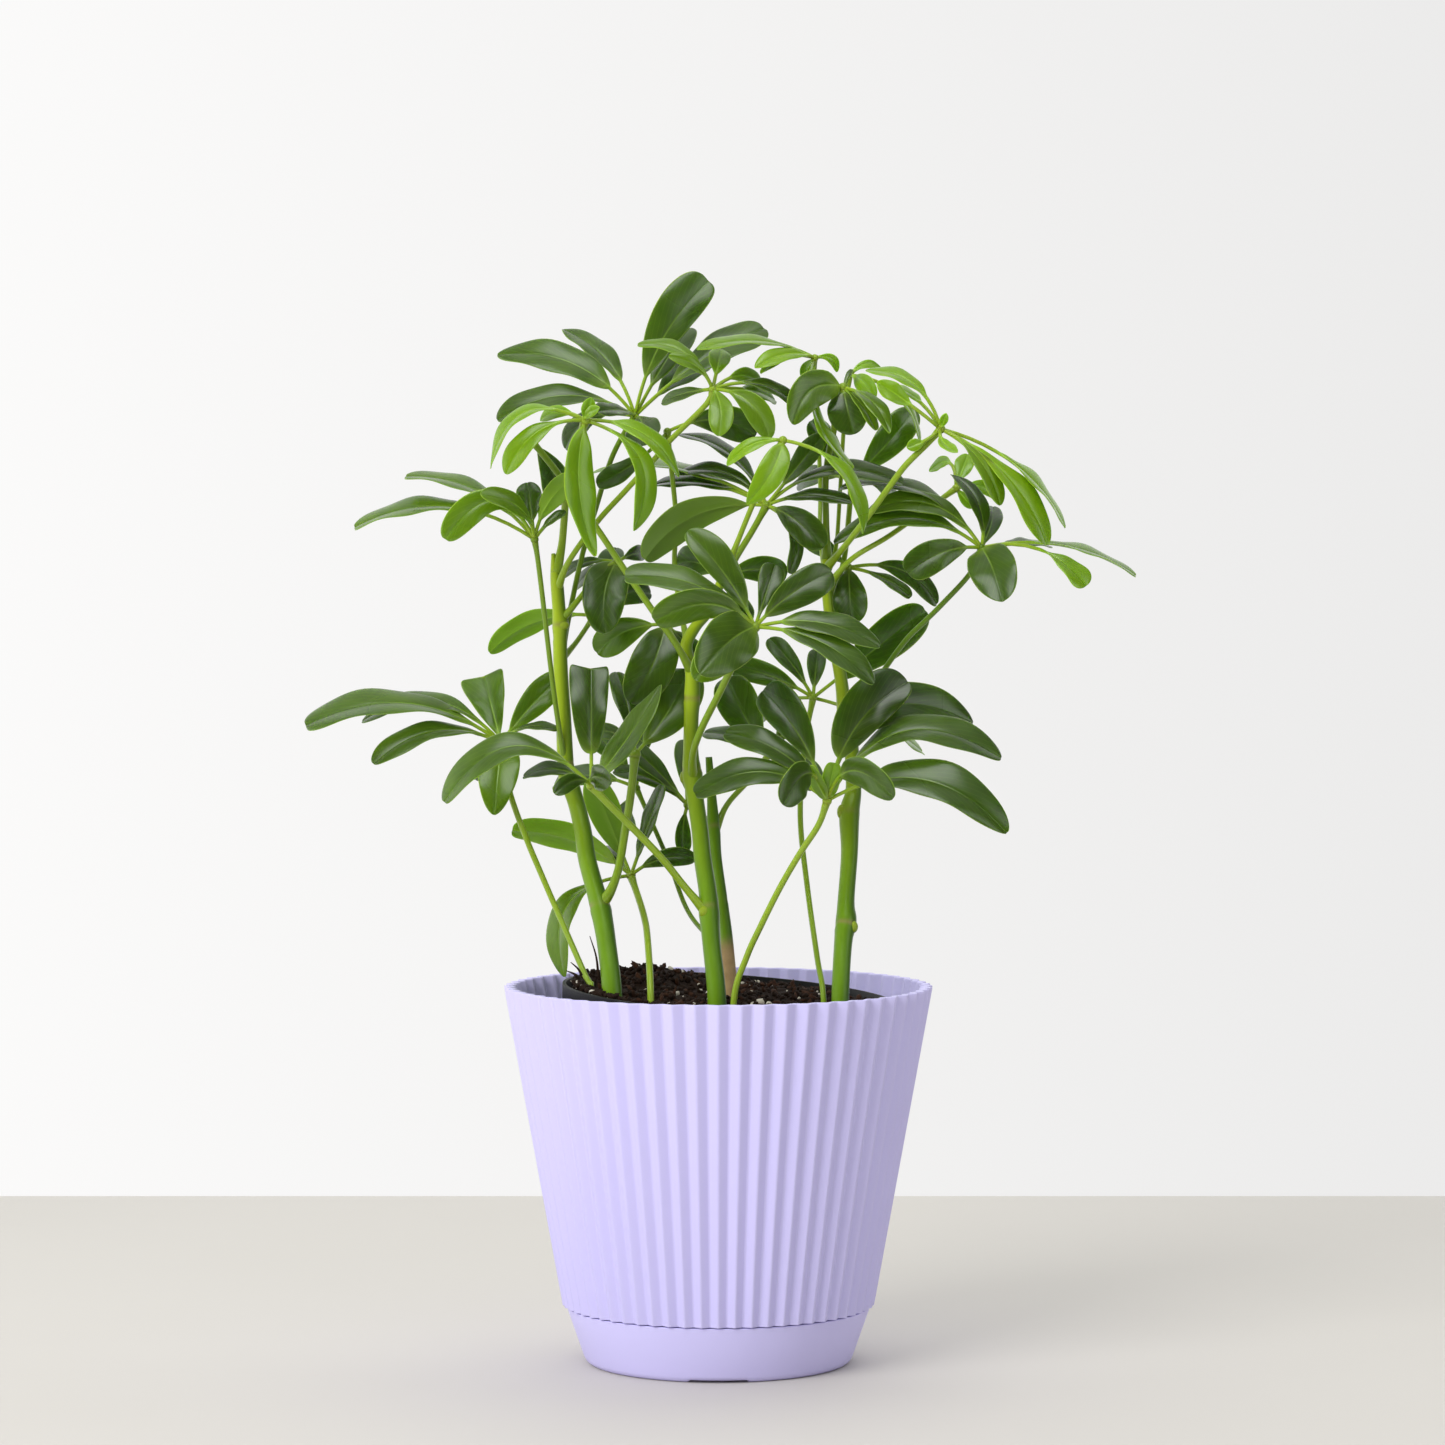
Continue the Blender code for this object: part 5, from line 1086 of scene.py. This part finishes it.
def soil(finish):
    """Lumpy plug that fills the nursery pot."""
    inside = NURSERY_WALL + SOIL_GAP
    radii = np.linspace(0.4, soil_top_radius(), SOIL_RINGS)
    turn = turns(SOIL_SIDES)
    x, y = radii[:, None] * np.cos(turn), radii[:, None] * np.sin(turn)
    top = np.stack([x, y, soil_height(x, y)], -1)
    base = polar_rings([(NURSERY_BASE_RADIUS - inside, inside, 0), (0.5, inside, 0)], SOIL_SIDES)
    pile = Pile("soil_fine")
    pile.loft(leaned(np.concatenate([top, base])), {"grain": 0.0})
    pile.make(finish, ["soil"])


def crumb_shapes(middles, sizes, rng):
    """Lumpy twenty-sided grains: an icosahedron for each, drawn out along three axes, dented and turned."""
    gold = (1 + math.sqrt(5)) / 2
    corners = [(0, a, b * gold) for a in (-1, 1) for b in (-1, 1)]
    corners = np.array([np.roll(c, k) for k in range(3) for c in corners], float) / math.hypot(1, gold)
    gaps = np.linalg.norm(corners[:, None] - corners[None], axis=-1)
    near = (gaps > 0) & (gaps < 1.2)
    faces = [(i, j, k) for i in range(12) for j in range(i + 1, 12) for k in range(j + 1, 12)
             if near[i, j] and near[j, k] and near[i, k]]
    faces = [f if np.linalg.det(corners[list(f)]) > 0 else f[::-1] for f in faces]
    count = len(middles)
    shape = corners[None] * sizes[:, None] * rng.uniform(0.72, 1.2, (count, 12, 1))
    q = unit(rng.normal(size=(count, 4)))
    w, xyz = q[:, None, :1], q[:, None, 1:]
    twice = 2 * np.cross(xyz, shape)
    turned = shape + w * twice + np.cross(xyz, twice)
    points = (middles[:, None] + turned).reshape(-1, 3)
    index = (np.array(faces)[None] + 12 * np.arange(count)[:, None, None]).reshape(-1, 3)
    return points, index


def crumbs(finish):
    """Grains on the soil: dark crumbs, drawn-out bits of bark and a few white ones. The last two kinds make a
    crust that climbs the left rim, and PERLITE are the larger white ones."""
    rng = np.random.default_rng(5)
    pile = Pile("soil_grains")
    for count, grain, small, large, drawn, inmost, (start, end) in GRAINS:
        reach = (soil_top_radius() - GRAIN_MARGIN) * np.sqrt(rng.uniform(inmost, 1, count))
        turn = rng.uniform(start, end, count)
        x, y = reach * np.cos(turn), reach * np.sin(turn)
        size = rng.uniform(small, large, count)
        if inmost == 0 and grain == 1.0:
            x[:len(PERLITE)], y[:len(PERLITE)], size[:len(PERLITE)] = np.array(PERLITE).T
        crust = CRUST_RISE * ease(0.86, 1.0, reach / soil_top_radius()) * (inmost > 0)
        middles = leaned(np.stack([x, y, soil_height(x, y) + GRAIN_SEAT * size + crust], -1))
        low = rng.uniform(0.5, 1.0, count)
        sizes = size[:, None] * np.stack([np.full(count, drawn), np.ones(count), low], -1)
        points, faces = crumb_shapes(middles, sizes, rng)
        pile.add(points, [faces], {"grain": np.full(len(points), grain)})
    for (x, z), (foot_x, foot_z), y in SLIVERS:
        middle = spot((x + foot_x) / 2 + SLIVER_BEND, (z + foot_z) / 2, y)
        line = smooth_way([spot(foot_x, foot_z, y), middle, spot(x, z, y)], 0.8)
        radii = np.linspace(*SLIVER_HALF, len(line))
        pile.loft(round_rings(line, radii, SLIVER_SIDES), {"grain": 0.3})
    pile.make(finish)


def table(finish):
    """Pale table top that ends behind the pot."""
    mesh = bpy.data.meshes.new("table")
    x, near, far = TABLE_HALF_WIDTH, TABLE_FRONT_Y, TABLE_BACK_Y
    corners = np.array([(-x, near, 0), (x, near, 0), (x, far, 0), (-x, far, 0)]) * MM
    mesh.from_pydata(corners.tolist(), [], [(0, 1, 2, 3)])
    mesh.materials.append(finish)
    put("table", mesh)


def light(name, place, aim, size, power):
    """Square soft light that faces a point."""
    lamp = bpy.data.lights.new(name, "AREA")
    lamp.size = size
    lamp.energy = power
    obj = put(name, lamp)
    obj.location = place
    way = obj.location - type(obj.location)(aim)
    obj.rotation_euler = way.to_track_quat("Z", "Y").to_euler()
    obj.visible_glossy = False


def brightness(t, facing, base, places):
    """A base brightness, and more where the direction faced nears each place's own."""
    glow = base
    for direction, share, begins, full in places:
        glow = glow + share * t.dot(facing, direction).step(begins, full)
    return glow


def studio():
    """Near-white surroundings, brighter behind, above and at the left, with a soft key light from the left.
    Shiny surfaces mirror darker ones with five bright places, and the camera sees an even backdrop."""
    world = bpy.data.worlds.new("studio")
    bpy.context.scene.world = world
    t = Tree(world)
    facing = t.node("ShaderNodeTexCoord", {}, {}, "Generated")
    glow = brightness(t, facing, *GLOW)
    mirrored = t.node("ShaderNodeLightPath", {}, {}, "Is Glossy Ray")
    glow = glow + mirrored * (brightness(t, facing, *MIRRORED) - glow)
    soft = t.node("ShaderNodeBackground", {}, {"Color": GLOW_COLOUR, "Strength": glow})
    level = 1 + BACKDROP_RISE * t.dot(facing, LEFT)
    plain = t.node("ShaderNodeBackground", {}, {"Color": BACKDROP, "Strength": level})
    seen = t.node("ShaderNodeLightPath", {}, {}, "Is Camera Ray")
    both = t.node("ShaderNodeMixShader", {}, {0: seen, 1: soft, 2: plain})
    t.node("ShaderNodeOutputWorld", {}, {"Surface": both})
    light("key", **KEY_LIGHT)
    light("top", **TOP_LIGHT)


def camera():
    """The camera at the sighting point, level but for its tilt, with colours shown as they are."""
    lens = bpy.data.cameras.new("camera")
    lens.lens = LENS
    lens.sensor_width = SENSOR
    obj = put("camera", lens)
    obj.location = tuple(SIGHT * MM)
    obj.rotation_euler = (math.pi / 2 - CAMERA_TILT, 0, 0)
    bpy.context.scene.camera = obj
    bpy.context.scene.view_settings.view_transform = "Standard"


def plant():
    """The stems and the leaves, in their two finishes."""
    leaf = leaf_finish()
    bark = stem_finish()
    for name in STEMS:
        stem(name, bark)
    for name, made in LEAVES.items():
        compound_leaf(name, made, leaf)


def holder():
    """The pots, the saucer and the soil with its grains."""
    lilac = plastic_finish("lilac_plastic", LILAC, roughness=0.5, grain=0.12)
    pleated_pot(lilac)
    saucer(lilac)
    nursery_pot(plastic_finish("black_plastic", BLACK, roughness=0.45, grain=0.3, sheen=0.25))
    earth = soil_finish()
    soil(earth)
    crumbs(earth)


studio()
camera()
table(table_finish())
holder()
plant()
